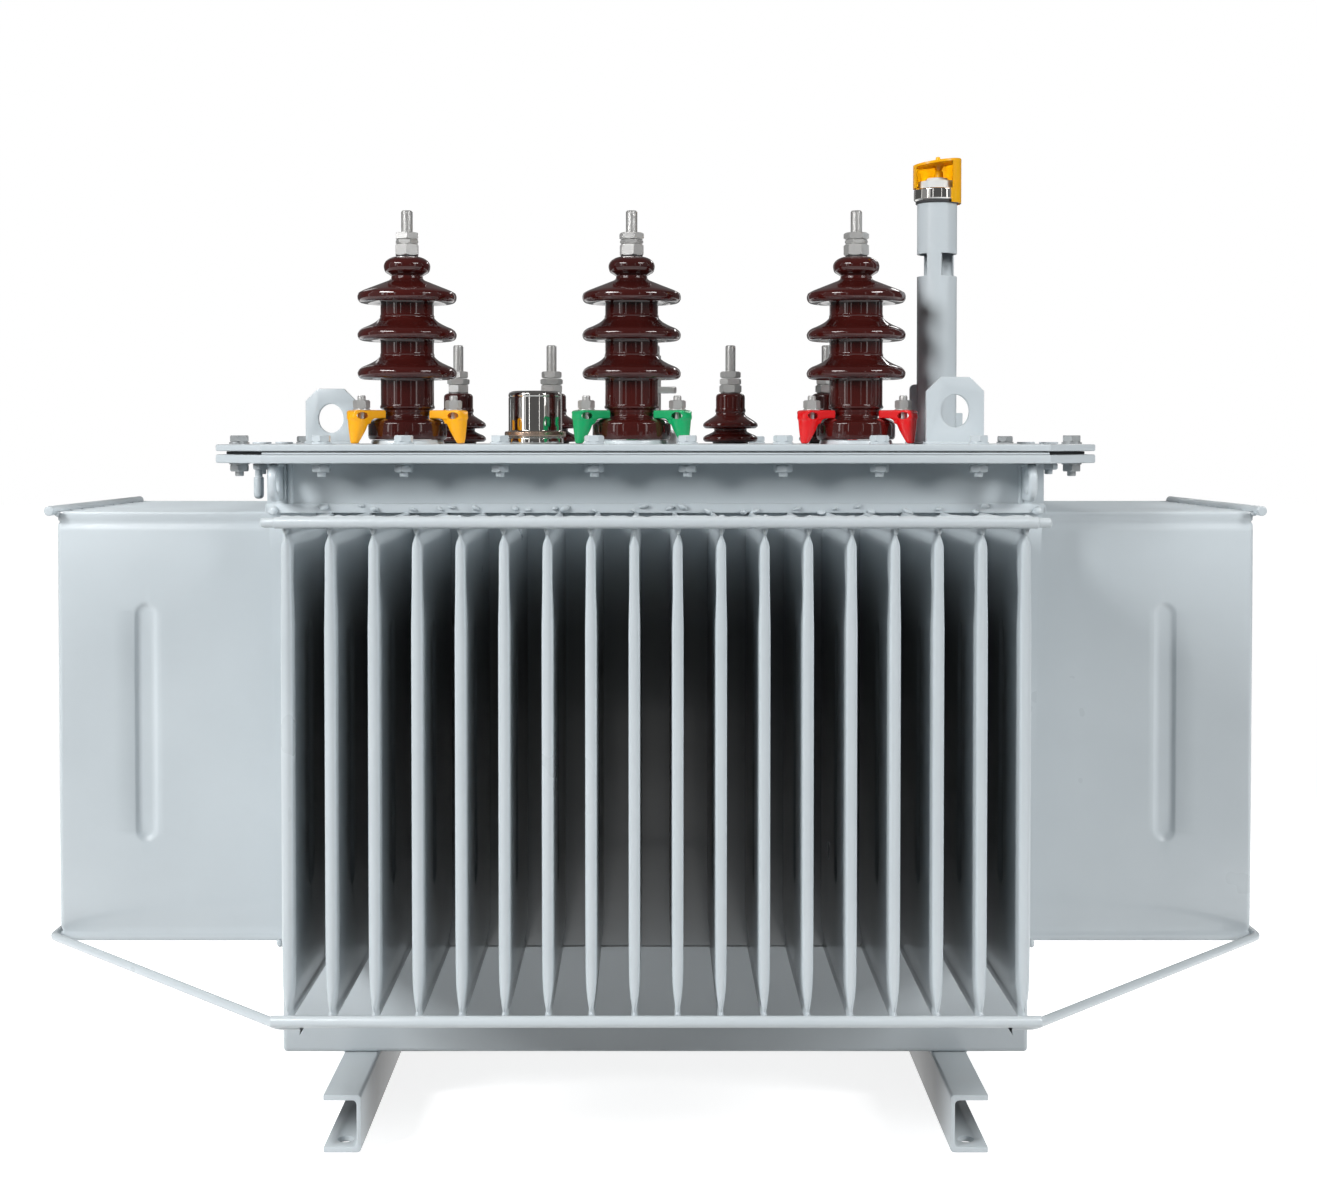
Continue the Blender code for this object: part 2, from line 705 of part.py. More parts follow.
def hv_insulator_profile():
    profile = [
        (0.0, HV_CAP_TOP),
        (HV_CAP_RADIUS * 0.85, HV_CAP_TOP),
        (HV_CAP_RADIUS, HV_CAP_TOP - 0.006),
        (HV_CAP_RADIUS, HV_CAP_BOTTOM + 0.007),
        (HV_NECK_RADIUS, HV_CAP_BOTTOM),
    ]
    for i, rim in enumerate(HV_RIM_HEIGHTS):
        shed = shed_profile(rim, HV_RIM_THICKNESS, HV_SHED_RADIUS, HV_CORE_RADIUS, HV_SHED_RISE)
        if i == 0:
            shed[0] = (HV_NECK_RADIUS, shed[0][1] + 0.004)
        profile += shed
    profile += [
        (HV_CORE_RADIUS, HV_GROOVE_TOP + 0.002),
        (HV_GROOVE_RADIUS, HV_GROOVE_TOP),
        (HV_GROOVE_RADIUS, HV_SHOULDER_TOP),
        (HV_BASE_RADIUS * 0.92, HV_SHOULDER_TOP),
        (HV_BASE_RADIUS, HV_BASE_TOP),
        (HV_BASE_RADIUS, HV_BOSS_HEIGHT + SEAT_GAP),
        (0.0, HV_BOSS_HEIGHT + SEAT_GAP),
    ]
    return profile


def make_terminal(name, stud_diameter, seat, top, nut_width, nut_top, place):
    """A threaded stud with its hexagonal nuts on top of a bushing."""
    stud = cylinder_mesh(name, stud_diameter / 2, seat + SEAT_GAP, top, 16)
    smooth_mesh(stud)
    terminal = add_object(name, stud, ZINC, place)
    corner_radius = nut_width / 2 / math.cos(math.radians(30))
    nuts = cylinder_mesh(name + "_nuts", corner_radius, seat + SEAT_GAP, nut_top, 6)
    cut(terminal, add_object(name + "_nuts", nuts, location=place), "UNION")


def claw_mesh(name):
    """A claw in its radial plane: a finger over the shoulder, and a leg that tapers to the cover."""
    tip = HV_GROOVE_RADIUS + CLAW_TIP_GAP
    heel = HV_BASE_RADIUS + CLAW_HEEL_GAP
    foot = HV_BASE_RADIUS + CLAW_FOOT_GAP
    back = heel + CLAW_BACK_THICKNESS
    bottom = HV_SHOULDER_TOP + SEAT_GAP
    top = bottom + CLAW_FINGER_HEIGHT
    outline = [
        (tip, bottom),
        (heel - 0.006, bottom),
        (heel, bottom - 0.005),
        (foot, SEAT_GAP),
        (foot + CLAW_FOOT_LENGTH, SEAT_GAP),
        (back, bottom - 0.008),
        (back, top - 0.005),
        (back - 0.005, top),
        (tip, top),
    ]
    stand_up = Matrix.Rotation(math.radians(90), 4, "X")
    return outline_mesh(name, [outline], CLAW_WIDTH, stand_up)


def make_hv_bushings():
    claw_paints = (CLAW_YELLOW, CLAW_GREEN, CLAW_RED)
    for (name, x), paint, azimuths in zip(hv_bushings(), claw_paints, CLAW_AZIMUTHS):
        place = (x, HV_ROW_Y, COVER_TOP)
        turned(f"{name}_insulator", hv_insulator_profile(), HV_STEPS, PORCELAIN, place)
        make_terminal(
            f"{name}_terminal",
            HV_STUD_DIAMETER,
            HV_CAP_TOP,
            HV_STUD_TOP,
            HV_NUT_WIDTH,
            HV_NUT_TOP,
            place,
        )
        for i, azimuth in enumerate(azimuths):
            claw = f"{name}_claw_{i + 1}"
            add_object(claw, claw_mesh(claw), paint, place, azimuth)


def lv_insulator_profile():
    upper = shed_profile(LV_UPPER_RIM, LV_RIM_THICKNESS, LV_SHED_RADIUS, LV_NECK_RADIUS, 0.006)
    upper[0] = (LV_CAP_RADIUS, LV_CAP_BOTTOM - 0.003)
    lower = shed_profile(LV_LOWER_RIM, LV_RIM_THICKNESS, LV_SHED_RADIUS, LV_NECK_RADIUS, 0.004)
    profile = [
        (0.0, LV_CAP_TOP),
        (LV_CAP_RADIUS * 0.9, LV_CAP_TOP),
        (LV_CAP_RADIUS, LV_CAP_TOP - 0.003),
    ]
    return profile + upper + lower + [(LV_NECK_RADIUS, SEAT_GAP), (0.0, SEAT_GAP)]


def make_lv_bushings():
    names = ("lv_neutral", "lv_a", "lv_b", "lv_c")
    for name, x in zip(names, LV_POSITIONS):
        place = (x, LV_ROW_Y, COVER_TOP)
        turned(f"{name}_insulator", lv_insulator_profile(), LV_STEPS, PORCELAIN, place)
        make_terminal(
            f"{name}_terminal",
            LV_STUD_DIAMETER,
            LV_CAP_TOP,
            LV_STUD_TOP,
            LV_NUT_WIDTH,
            LV_NUT_TOP,
            place,
        )


def make_tap_switch():
    place = (TAP_X, LV_ROW_Y, COVER_TOP)
    profile = [
        (0.0, LV_STUD_TOP),
        (TAP_POST_RADIUS, LV_STUD_TOP),
        (TAP_POST_RADIUS, TAP_BASE_HEIGHT),
        (TAP_BASE_RADIUS * 0.8, TAP_BASE_HEIGHT),
        (TAP_BASE_RADIUS, TAP_BASE_HEIGHT * 0.8),
        (TAP_BASE_RADIUS, SEAT_GAP),
        (0.0, SEAT_GAP),
    ]
    switch = turned("tap_switch", profile, 16, ZINC, place)
    half = TAP_HANDLE_LENGTH / 2
    handle = box_mesh(
        "tap_handle",
        (-half, -TAP_HANDLE_WIDTH / 2, TAP_HANDLE_BOTTOM),
        (half, TAP_HANDLE_WIDTH / 2, TAP_HANDLE_TOP),
    )
    cut(switch, add_object("tap_handle", handle, location=place), "UNION")


def make_relief_cap():
    profile = [
        (0.0, RELIEF_HEIGHT),
        (RELIEF_RADIUS - 0.004, RELIEF_HEIGHT),
        (RELIEF_RADIUS, RELIEF_HEIGHT - 0.004),
        (RELIEF_RADIUS, RELIEF_FLANGE_HEIGHT),
        (RELIEF_FLANGE_RADIUS, RELIEF_FLANGE_HEIGHT),
        (RELIEF_FLANGE_RADIUS, SEAT_GAP),
        (0.0, SEAT_GAP),
    ]
    place = (RELIEF_X, RELIEF_EDGE_INSET - COVER_HALF_DEPTH, COVER_TOP)
    turned("relief_cap", profile, 24, CHROME, place)


def make_filler():
    place = Vector(
        (COVER_HALF_LENGTH - FILLER_END_INSET, FILLER_EDGE_INSET - COVER_HALF_DEPTH, COVER_TOP)
    )
    bore = FILLER_RADIUS - FILLER_WALL
    profile = [
        (FILLER_RADIUS, FILLER_HEIGHT),
        (FILLER_RADIUS, SEAT_GAP),
        (bore, SEAT_GAP),
        (bore, FILLER_HEIGHT),
    ]
    pipe = turned("filler_pipe", profile, 32, PAINT, place, closed=True)
    reach = 2 * FILLER_RADIUS
    for i, turn in enumerate(FILLER_WINDOW_TURNS):
        window = box_mesh(
            "filler_window",
            (FILLER_RADIUS - FILLER_WINDOW_DEPTH, -reach, FILLER_WINDOW_BOTTOM),
            (reach, reach, FILLER_WINDOW_TOP),
        )
        cut(pipe, add_object(f"filler_window_{i + 1}", window, None, place, turn))
    half = FILLER_RIB_THICKNESS / 2
    rib = box_mesh(
        "filler_rib",
        (-FILLER_RADIUS - FILLER_RIB_REACH, -half, SEAT_GAP),
        (-FILLER_RADIUS + FILLER_WALL / 2, half, FILLER_RIB_HEIGHT),
    )
    cut(pipe, add_object("filler_rib", rib, location=place), "UNION")

    ring_bottom = FILLER_HEIGHT + SEAT_GAP
    ring_top = ring_bottom + RING_HEIGHT
    plug_top = ring_top + PLUG_HEIGHT
    profile = [
        (0.0, plug_top),
        (PLUG_RADIUS, plug_top),
        (PLUG_RADIUS, ring_top),
        (RING_RADIUS - 0.001, ring_top),
        (RING_RADIUS, ring_top - 0.001),
        (RING_RADIUS, ring_bottom),
        (0.0, ring_bottom),
    ]
    turned("filler_ring", profile, 32, CHROME, place)
    make_hood(place, ring_bottom, ring_top, plug_top)


def make_hood(place, ring_bottom, ring_top, plug_top):
    """The plastic hood: closed on top, cut away at a slant, with one leg down over the ring."""
    inner = RING_RADIUS + SEAT_GAP
    outer = inner + HOOD_WALL
    top = ring_top + HOOD_TOP_RISE
    ceiling = plug_top + SEAT_GAP
    profile = [
        (0.0, top),
        (outer * 0.75, top - 0.001),
        (outer * 0.95, top - 0.004),
        (outer, top - 0.010),
        (outer, ring_bottom),
        (inner, ring_bottom),
        (inner, ceiling),
        (0.0, ceiling),
    ]
    hood = turned("filler_hood", profile, 32, AMBER, place)
    leg_start = outer - HOOD_LEG_WIDTH
    reach = 2 * outer
    window = [
        (-reach, ring_bottom - 0.01),
        (leg_start, ring_bottom - 0.01),
        (leg_start, ring_top + HOOD_RIM_HIGH),
        (-outer, ring_top + HOOD_RIM_LOW),
        (-reach, ring_top + HOOD_RIM_LOW),
    ]
    stand_up = Matrix.Rotation(math.radians(90), 4, "X")
    mesh = outline_mesh("hood_window", [window], 2 * reach, stand_up)
    cut(hood, add_object("hood_window", mesh, location=place))


make_feet()
make_tank()
make_fin_walls()
make_rods()
make_cover()
make_lugs()
make_hv_bushings()
make_lv_bushings()
make_tap_switch()
make_relief_cap()
make_filler()
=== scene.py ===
# Power transformer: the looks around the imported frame.
# Metres, +Z up, standing on z = 0, the high-voltage side towards -Y.

import math
import random

import bmesh
import bpy
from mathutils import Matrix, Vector


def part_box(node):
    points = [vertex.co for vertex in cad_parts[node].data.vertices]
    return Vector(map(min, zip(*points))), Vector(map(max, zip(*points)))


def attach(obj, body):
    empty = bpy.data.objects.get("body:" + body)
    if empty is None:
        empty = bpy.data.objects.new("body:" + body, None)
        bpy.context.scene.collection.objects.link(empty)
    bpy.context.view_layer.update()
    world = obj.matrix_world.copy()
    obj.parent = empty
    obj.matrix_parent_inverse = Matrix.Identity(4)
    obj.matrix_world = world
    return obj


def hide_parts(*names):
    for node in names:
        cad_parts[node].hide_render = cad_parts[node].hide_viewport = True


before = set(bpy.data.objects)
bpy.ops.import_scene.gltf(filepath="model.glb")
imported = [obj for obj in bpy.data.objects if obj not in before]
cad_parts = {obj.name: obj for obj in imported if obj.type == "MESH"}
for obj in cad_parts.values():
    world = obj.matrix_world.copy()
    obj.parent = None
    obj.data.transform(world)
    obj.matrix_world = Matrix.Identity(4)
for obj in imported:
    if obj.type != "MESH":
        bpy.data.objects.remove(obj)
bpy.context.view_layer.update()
random.seed(7)
print("frame loaded:", len(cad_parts), "nodes")

touchGap = 0.0003
whole = 2 * math.pi


# Working by hand: select, shape, settle

def focus(*pieces):
    bpy.ops.object.select_all(action="DESELECT")
    for piece in pieces:
        piece.select_set(True)
    bpy.context.view_layer.objects.active = pieces[0]


def settle(piece):
    # the place and turn go into the mesh, and the object sits at the origin
    focus(piece)
    bpy.ops.object.transform_apply(location=True, rotation=True, scale=True)


def placePiece(piece, place=(0, 0, 0), turn=0.0, lean=0.0):
    # lean is about Y and turn about Z, both in degrees and before the move
    piece.rotation_euler = (0.0, math.radians(lean), math.radians(turn))
    piece.location = place
    settle(piece)


def openEdit(piece, kind="FACE"):
    focus(piece)
    bpy.ops.object.mode_set(mode="EDIT")
    bpy.ops.mesh.select_mode(type=kind)
    bpy.ops.mesh.select_all(action="DESELECT")


def closeEdit():
    bpy.ops.object.mode_set(mode="OBJECT")


def pick(piece, kind, test):
    # selects what passes the test: a vertex by place, an edge by middle and run, a face by middle and normal
    bpy.ops.mesh.select_mode(type=kind)
    bpy.ops.mesh.select_all(action="DESELECT")
    shape = bmesh.from_edit_mesh(piece.data)
    if kind == "VERT":
        chosen = [vert for vert in shape.verts if test(vert.co)]
    elif kind == "EDGE":
        chosen = []
        for edge in shape.edges:
            first, second = (vert.co for vert in edge.verts)
            if test((first + second) / 2, (second - first).normalized()):
                chosen.append(edge)
    else:
        chosen = [face for face in shape.faces if test(face.calc_center_median(), face.normal)]
    for part in chosen:
        part.select_set(True)
    shape.select_flush_mode()
    bmesh.update_edit_mesh(piece.data)
    return len(chosen)


def addBox(name, low, high):
    middle = [(a + b) / 2 for a, b in zip(low, high)]
    bpy.ops.mesh.primitive_cube_add(size=1.0, location=middle)
    piece = bpy.context.object
    piece.name = name
    piece.scale = [b - a for a, b in zip(low, high)]
    settle(piece)
    return piece


def addRound(name, radius, start, end, sides=32):
    # a cylinder between two points
    start, end = Vector(start), Vector(end)
    bpy.ops.mesh.primitive_cylinder_add(
        vertices=sides, radius=radius, depth=(end - start).length, location=(start + end) / 2
    )
    piece = bpy.context.object
    piece.name = name
    piece.rotation_euler = (end - start).to_track_quat("Z", "Y").to_euler()
    settle(piece)
    return piece


def roundEdges(piece, test, width, segments=3):
    openEdit(piece, "EDGE")
    if pick(piece, "EDGE", test):
        bpy.ops.mesh.bevel(offset=width, segments=segments, profile=0.5, affect="EDGES")
    closeEdit()


def useModifier(piece, kind, **values):
    modifier = piece.modifiers.new(kind.title(), kind)
    for name, value in values.items():
        setattr(modifier, name, value)
    focus(piece)
    bpy.ops.object.modifier_apply(modifier=modifier.name)


def softEdges(piece, width, segments=2, angle=35.0):
    useModifier(
        piece, "BEVEL", width=width, segments=segments, limit_method="ANGLE",
        angle_limit=math.radians(angle), harden_normals=False,
    )


def carve(piece, cutter, operation="DIFFERENCE"):
    useModifier(piece, "BOOLEAN", object=cutter, operation=operation, solver="EXACT")
    bpy.data.objects.remove(cutter)


def smooth(piece, angle=38.0):
    focus(piece)
    bpy.ops.object.shade_smooth_by_angle(angle=math.radians(angle))


def copyPiece(piece, shift=(0, 0, 0), turn=0.0):
    # each copy has its own mesh; the turn is about the vertical through the origin, before the shift
    twin = piece.copy()
    twin.data = piece.data.copy()
    bpy.context.collection.objects.link(twin)
    placePiece(twin, shift, turn)
    return twin


def joinPieces(pieces, name):
    focus(*pieces)
    if len(pieces) > 1:
        bpy.ops.object.join()
    pieces[0].name = name
    return pieces[0]


def turnPiece(name, outline, centre=(0, 0, 0), steps=64):
    # outline: radius, height and rounding of each corner, from the top axis down the outer side
    centre = Vector(centre)
    bpy.ops.mesh.primitive_plane_add(size=0.01, location=centre)
    piece = bpy.context.object
    piece.name = name
    settle(piece)
    openEdit(piece, "VERT")
    bpy.ops.mesh.select_all(action="SELECT")
    bpy.ops.mesh.merge(type="CENTER")
    points = [centre + Vector((radius, 0.0, height)) for radius, height, _ in outline]
    bpy.ops.transform.translate(value=points[0] - centre)
    for before, after in zip(points, points[1:]):
        bpy.ops.mesh.extrude_vertices_move(TRANSFORM_OT_translate={"value": after - before})
    for point, (_, _, rounding) in zip(points, outline):
        if rounding:
            pick(piece, "VERT", lambda place: (place - point).length < 1e-5)
            bpy.ops.mesh.bevel(offset=rounding, segments=4, affect="VERTICES")
    bpy.ops.mesh.select_all(action="SELECT")
    bpy.ops.mesh.spin(steps=steps, angle=whole, center=centre, axis=(0, 0, 1), dupli=False)
    bpy.ops.mesh.select_all(action="SELECT")
    bpy.ops.mesh.remove_doubles(threshold=0.00001)
    bpy.ops.mesh.normals_make_consistent(inside=False)
    closeEdit()
    smooth(piece)
    return piece


def addDisc(name, radius, low, high, roundLow, roundHigh, centre=(0, 0, 0), steps=28):
    outline = [(0.0, high, 0.0), (radius, high, roundHigh), (radius, low, roundLow), (0.0, low, 0.0)]
    return turnPiece(name, outline, centre, steps)


def barAlong(name, points, radius, radii=None, sides=3, closed=False):
    # a round bar along points; radii makes it swell and narrow, as a weld bead does
    curve = bpy.data.curves.new(name, "CURVE")
    curve.dimensions = "3D"
    curve.bevel_depth = radius
    curve.bevel_resolution = sides
    curve.use_fill_caps = True
    spline = curve.splines.new("POLY")
    spline.points.add(len(points) - 1)
    spline.use_cyclic_u = closed
    for i, (spot, place) in enumerate(zip(spline.points, points)):
        spot.co = (*place, 1.0)
        spot.radius = radii[i] if radii else 1.0
    piece = bpy.data.objects.new(name, curve)
    bpy.context.collection.objects.link(piece)
    focus(piece)
    bpy.ops.object.convert(target="MESH")
    piece = bpy.context.object
    openEdit(piece, "VERT")
    bpy.ops.mesh.select_all(action="SELECT")
    bpy.ops.mesh.remove_doubles(threshold=0.00001)
    bpy.ops.mesh.normals_make_consistent(inside=False)
    closeEdit()
    smooth(piece, 60.0)
    return piece


def weldSeam(name, corners, radius, ripple=0.0026):
    # a bead of weld along a path: its ripples swell and narrow a little unevenly
    points, radii = [], []
    for start, end in zip(corners, corners[1:]):
        start, end = Vector(start), Vector(end)
        count = max(2, int((end - start).length / ripple))
        for i in range(count):
            points.append(start.lerp(end, i / count))
            radii.append((1.0 if i % 2 else 0.8) * random.uniform(0.86, 1.1))
    points.append(Vector(corners[-1]))
    radii.append(0.7)
    return barAlong(name, points, radius, radii, sides=1)


def middleOf(node):
    low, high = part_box(node)
    return (low + high) / 2


def onCover(node):
    # the point of the cover's top under the middle of a node
    middle = middleOf(node)
    return Vector((middle.x, middle.y, coverTop))


def handOver(piece, name, finish, slotName, *nodes):
    # the finished piece rides on the root body and stands for the nodes named
    piece.name = name
    piece.data.name = name
    piece.data.materials.clear()
    piece.data.materials.append(finish)
    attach(piece, "root")
    if nodes:
        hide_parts(*nodes)


# Finishes

def addNode(tree, kind, *values, **sockets):
    # a node with its inputs by place or by name: each a value, or another node's output to link
    node = tree.nodes.new("ShaderNode" + kind)
    given = list(enumerate(values)) + [(name.replace("_", " "), value) for name, value in sockets.items()]
    for key, value in given:
        if isinstance(value, bpy.types.NodeSocket):
            tree.links.new(value, node.inputs[key])
        else:
            node.inputs[key].default_value = value
    return node


def addMath(tree, operation, *values):
    node = addNode(tree, "Math", *values)
    node.operation = operation
    return node.outputs["Value"]


def addRange(tree, value, fromLow=0.0, fromHigh=1.0, toLow=0.0, toHigh=1.0, eased=False):
    node = addNode(
        tree, "MapRange", Value=value, From_Min=fromLow, From_Max=fromHigh, To_Min=toLow, To_Max=toHigh
    )
    if eased:
        node.interpolation_type = "SMOOTHSTEP"
    return node.outputs["Result"]


def ownPlace(tree):
    return addNode(tree, "TexCoord").outputs["Object"]


def newGroup(name, inputs, outputs):
    group = bpy.data.node_groups.new(name, "ShaderNodeTree")
    for label, kind, value in inputs:
        group.interface.new_socket(label, in_out="INPUT", socket_type=kind).default_value = value
    for label in outputs:
        group.interface.new_socket(label, in_out="OUTPUT", socket_type="NodeSocketFloat")
    return group, group.nodes.new("NodeGroupInput").outputs, group.nodes.new("NodeGroupOutput").inputs


def makePaintSkin():
    # orange peel, slow tone drift and the faint sags of a thick sprayed coat
    group, given, result = newGroup(
        "paintSkin",
        [("Peel Scale", "NodeSocketFloat", 420.0), ("Sag", "NodeSocketFloat", 0.5)],
        ["Height", "Tone"],
    )
    place = ownPlace(group)
    peel = addNode(group, "TexNoise", Vector=place, Scale=given["Peel Scale"], Detail=2.0)
    stretch = addNode(group, "Mapping", Vector=place, Scale=(34.0, 34.0, 5.0))
    sag = addNode(group, "TexNoise", Vector=stretch.outputs["Vector"], Scale=1.0, Detail=2.0)
    sagPart = addMath(group, "MULTIPLY", sag.outputs["Fac"], given["Sag"])
    height = addMath(group, "MULTIPLY_ADD", peel.outputs["Fac"], 0.12, sagPart)
    drift = addNode(group, "TexNoise", Vector=place, Scale=5.0, Detail=4.0)
    group.links.new(height, result["Height"])
    group.links.new(addRange(group, drift.outputs["Fac"], 0.3, 0.7), result["Tone"])
    return group


def makeDust():
    # a little dust that settles on what faces up
    group, given, result = newGroup(
        "settledDust",
        [("Amount", "NodeSocketFloat", 0.3), ("Scale", "NodeSocketFloat", 30.0)],
        ["Mask"],
    )
    facing = addNode(group, "NewGeometry").outputs["Normal"]
    upward = addRange(group, addNode(group, "SeparateXYZ", facing).outputs["Z"], 0.35, 0.95)
    speck = addNode(
        group, "TexNoise", Vector=ownPlace(group), Scale=given["Scale"], Detail=5.0, Roughness=0.7
    )
    patch = addMath(group, "MULTIPLY", upward, speck.outputs["Fac"])
    group.links.new(addMath(group, "MULTIPLY", patch, given["Amount"]), result["Mask"])
    return group


def makeGrain():
    # fine marks of plated and turned metal, finest along the height
    group, given, result = newGroup(
        "metalGrain",
        [("Scale", "NodeSocketFloat", 900.0), ("Along", "NodeSocketVector", (0.2, 0.2, 1.0))],
        ["Height", "Tone"],
    )
    place = ownPlace(group)
    stretch = addNode(group, "Mapping", Vector=place, Scale=given["Along"])
    lines = addNode(group, "TexNoise", Vector=stretch.outputs["Vector"], Scale=given["Scale"], Detail=3.0)
    blotch = addNode(group, "TexNoise", Vector=place, Scale=60.0, Detail=3.0)
    group.links.new(lines.outputs["Fac"], result["Height"])
    group.links.new(blotch.outputs["Fac"], result["Tone"])
    return group


paintSkin = makePaintSkin()
settledDust = makeDust()
metalGrain = makeGrain()


def newFinish(name, **constants):
    finish = bpy.data.materials.new(name)
    finish.use_nodes = True
    shader = finish.node_tree.nodes["Principled BSDF"]
    for socket, value in constants.items():
        shader.inputs[socket.replace("_", " ")].default_value = value
    return finish, finish.node_tree, shader


def useGroup(tree, group, **values):
    node = tree.nodes.new("ShaderNodeGroup")
    node.node_tree = group
    for name, value in values.items():
        node.inputs[name.replace("_", " ")].default_value = value
    return node.outputs


def blendColours(tree, factor, first, second):
    mix = tree.nodes.new("ShaderNodeMix")
    mix.data_type = "RGBA"
    tree.links.new(factor, mix.inputs["Factor"])
    for socket, colour in (("A", first), ("B", second)):
        target = [s for s in mix.inputs if s.name == socket and s.type == "RGBA"][0]
        if isinstance(colour, tuple):
            target.default_value = (*colour, 1.0)
        else:
            tree.links.new(colour, target)
    return [s for s in mix.outputs if s.type == "RGBA"][0]


def dressShader(tree, shader, marks, light, deep, rough, bump, dust=None):
    # tone and roughness from the marks' Tone, dust over the colour, and a bump from their Height
    colour = blendColours(tree, marks["Tone"], light, deep)
    if dust:
        amount, scale, tint = dust
        film = useGroup(tree, settledDust, Amount=amount, Scale=scale)
        colour = blendColours(tree, film["Mask"], colour, tint)
    tree.links.new(colour, shader.inputs["Base Color"])
    tree.links.new(addRange(tree, marks["Tone"], toLow=rough[0], toHigh=rough[1]), shader.inputs["Roughness"])
    addBump(tree, shader, marks["Height"], *bump)


def addBump(tree, shader, height, strength, distance):
    bump = addNode(tree, "Bump", Height=height, Strength=strength, Distance=distance)
    tree.links.new(bump.outputs["Normal"], shader.inputs["Normal"])


def paintFinish(name, light, deep, peel=420.0, sag=0.5, dust=0.25, coat=0.35, rough=(0.27, 0.36)):
    finish, tree, shader = newFinish(name, Coat_Weight=coat, Coat_Roughness=0.12)
    skin = useGroup(tree, paintSkin, Peel_Scale=peel, Sag=sag)
    dressShader(tree, shader, skin, light, deep, rough, (0.35, 0.0006), (dust, 35.0, (0.62, 0.61, 0.58)))
    return finish


def metalFinish(name, light, deep, rough, metal=1.0, grain=900.0, strength=0.12, along=(0.2, 0.2, 1.0)):
    finish, tree, shader = newFinish(name, Metallic=metal)
    marks = useGroup(tree, metalGrain, Scale=grain, Along=along)
    dressShader(tree, shader, marks, light, deep, rough, (strength, 0.0002))
    return finish


def glazeFinish():
    # brown glaze: thinner and redder where it ran thin
    finish, tree, shader = newFinish(
        "brownGlaze", Coat_Weight=1.0, Coat_Roughness=0.025, Specular_IOR_Level=0.15
    )
    skin = useGroup(tree, paintSkin, Peel_Scale=160.0, Sag=0.35)
    dressShader(
        tree, shader, skin, (0.054, 0.0060, 0.0046), (0.030, 0.0044, 0.0038), (0.08, 0.15),
        (0.12, 0.0005), (0.015, 80.0, (0.30, 0.27, 0.25)),
    )
    return finish


def amberFinish():
    # clear amber plastic, cloudy in places
    finish, tree, shader = newFinish(
        "amberPlastic", Transmission_Weight=0.22, IOR=1.49, Coat_Weight=0.15, Coat_Roughness=0.08
    )
    skin = useGroup(tree, paintSkin, Peel_Scale=240.0, Sag=0.3)
    dressShader(
        tree, shader, skin, (1.0, 0.58, 0.004), (0.99, 0.44, 0.002), (0.14, 0.24), (0.2, 0.0004)
    )
    return finish


def plasticFinish(name, light, deep, rough):
    finish, tree, shader = newFinish(name, Specular_IOR_Level=0.45)
    skin = useGroup(tree, paintSkin, Peel_Scale=700.0, Sag=0.1)
    dressShader(tree, shader, skin, light, deep, rough, (0.25, 0.0003), (0.2, 60.0, (0.55, 0.53, 0.50)))
    return finish


def threadFinish():
    # plated steel with the ridges of a rolled thread
    finish = metalFinish("threadedPlate", (0.72, 0.715, 0.70), (0.52, 0.52, 0.51), (0.27, 0.38), 0.8)
    tree = finish.node_tree
    ridges = addNode(tree, "TexWave", Vector=ownPlace(tree), Scale=180.0, Distortion=0.0)
    ridges.bands_direction = "Z"
    addBump(tree, tree.nodes["Principled BSDF"], ridges.outputs["Fac"], 0.18, 0.0002)
    return finish


def paintedShadeFinish(name, size):
    # the tank's enamel with painted shade: its colour turns to a dark tone inside the given distances from
    # the middle
    finish = paintFinish(name, *enamelTones)
    tree = finish.node_tree
    target = tree.nodes["Principled BSDF"].inputs["Base Color"]
    split = addNode(tree, "SeparateXYZ", ownPlace(tree))
    shade = None
    for axis in "XYZ":
        if axis in size:
            reach = addMath(tree, "ABSOLUTE", split.outputs[axis])
            ramp = addRange(tree, reach, *size[axis], eased=True)
            shade = ramp if shade is None else addMath(tree, "MULTIPLY", shade, ramp)
    # the painted shade's dark tone is blended into the enamel's colour
    tree.links.new(blendColours(tree, shade, target.links[0].from_socket, size["tone"]), target)
    return finish


enamelTones = ((0.530, 0.582, 0.612), (0.485, 0.536, 0.566))
# painted shade: distances from the middle at which it begins and at which it is full, and its dark colour; on
# the fin rows it darkens the gaps between the fins, its X limit also taking in the pressed grooves on the end
# fins' outer faces, and on the feet it darkens the faces under the tank
paintedShadeOfRows = {"X": (0.3865, 0.3860), "Y": (0.496, 0.350), "Z": (0.690, 0.560), "tone": (0.180, 0.198, 0.208)}
paintedShadeOfFeet = {"Y": (0.368, 0.240), "Z": (0.0640, 0.0610), "tone": (0.085, 0.094, 0.100)}
tankPaint = paintFinish("bluishGreyEnamel", *enamelTones)
# enamel of the front and back fin rows, with painted shade deep between the fins
enamelOfRowsWithPaintedShade = paintedShadeFinish("paintedShadeFinRowEnamel", paintedShadeOfRows)
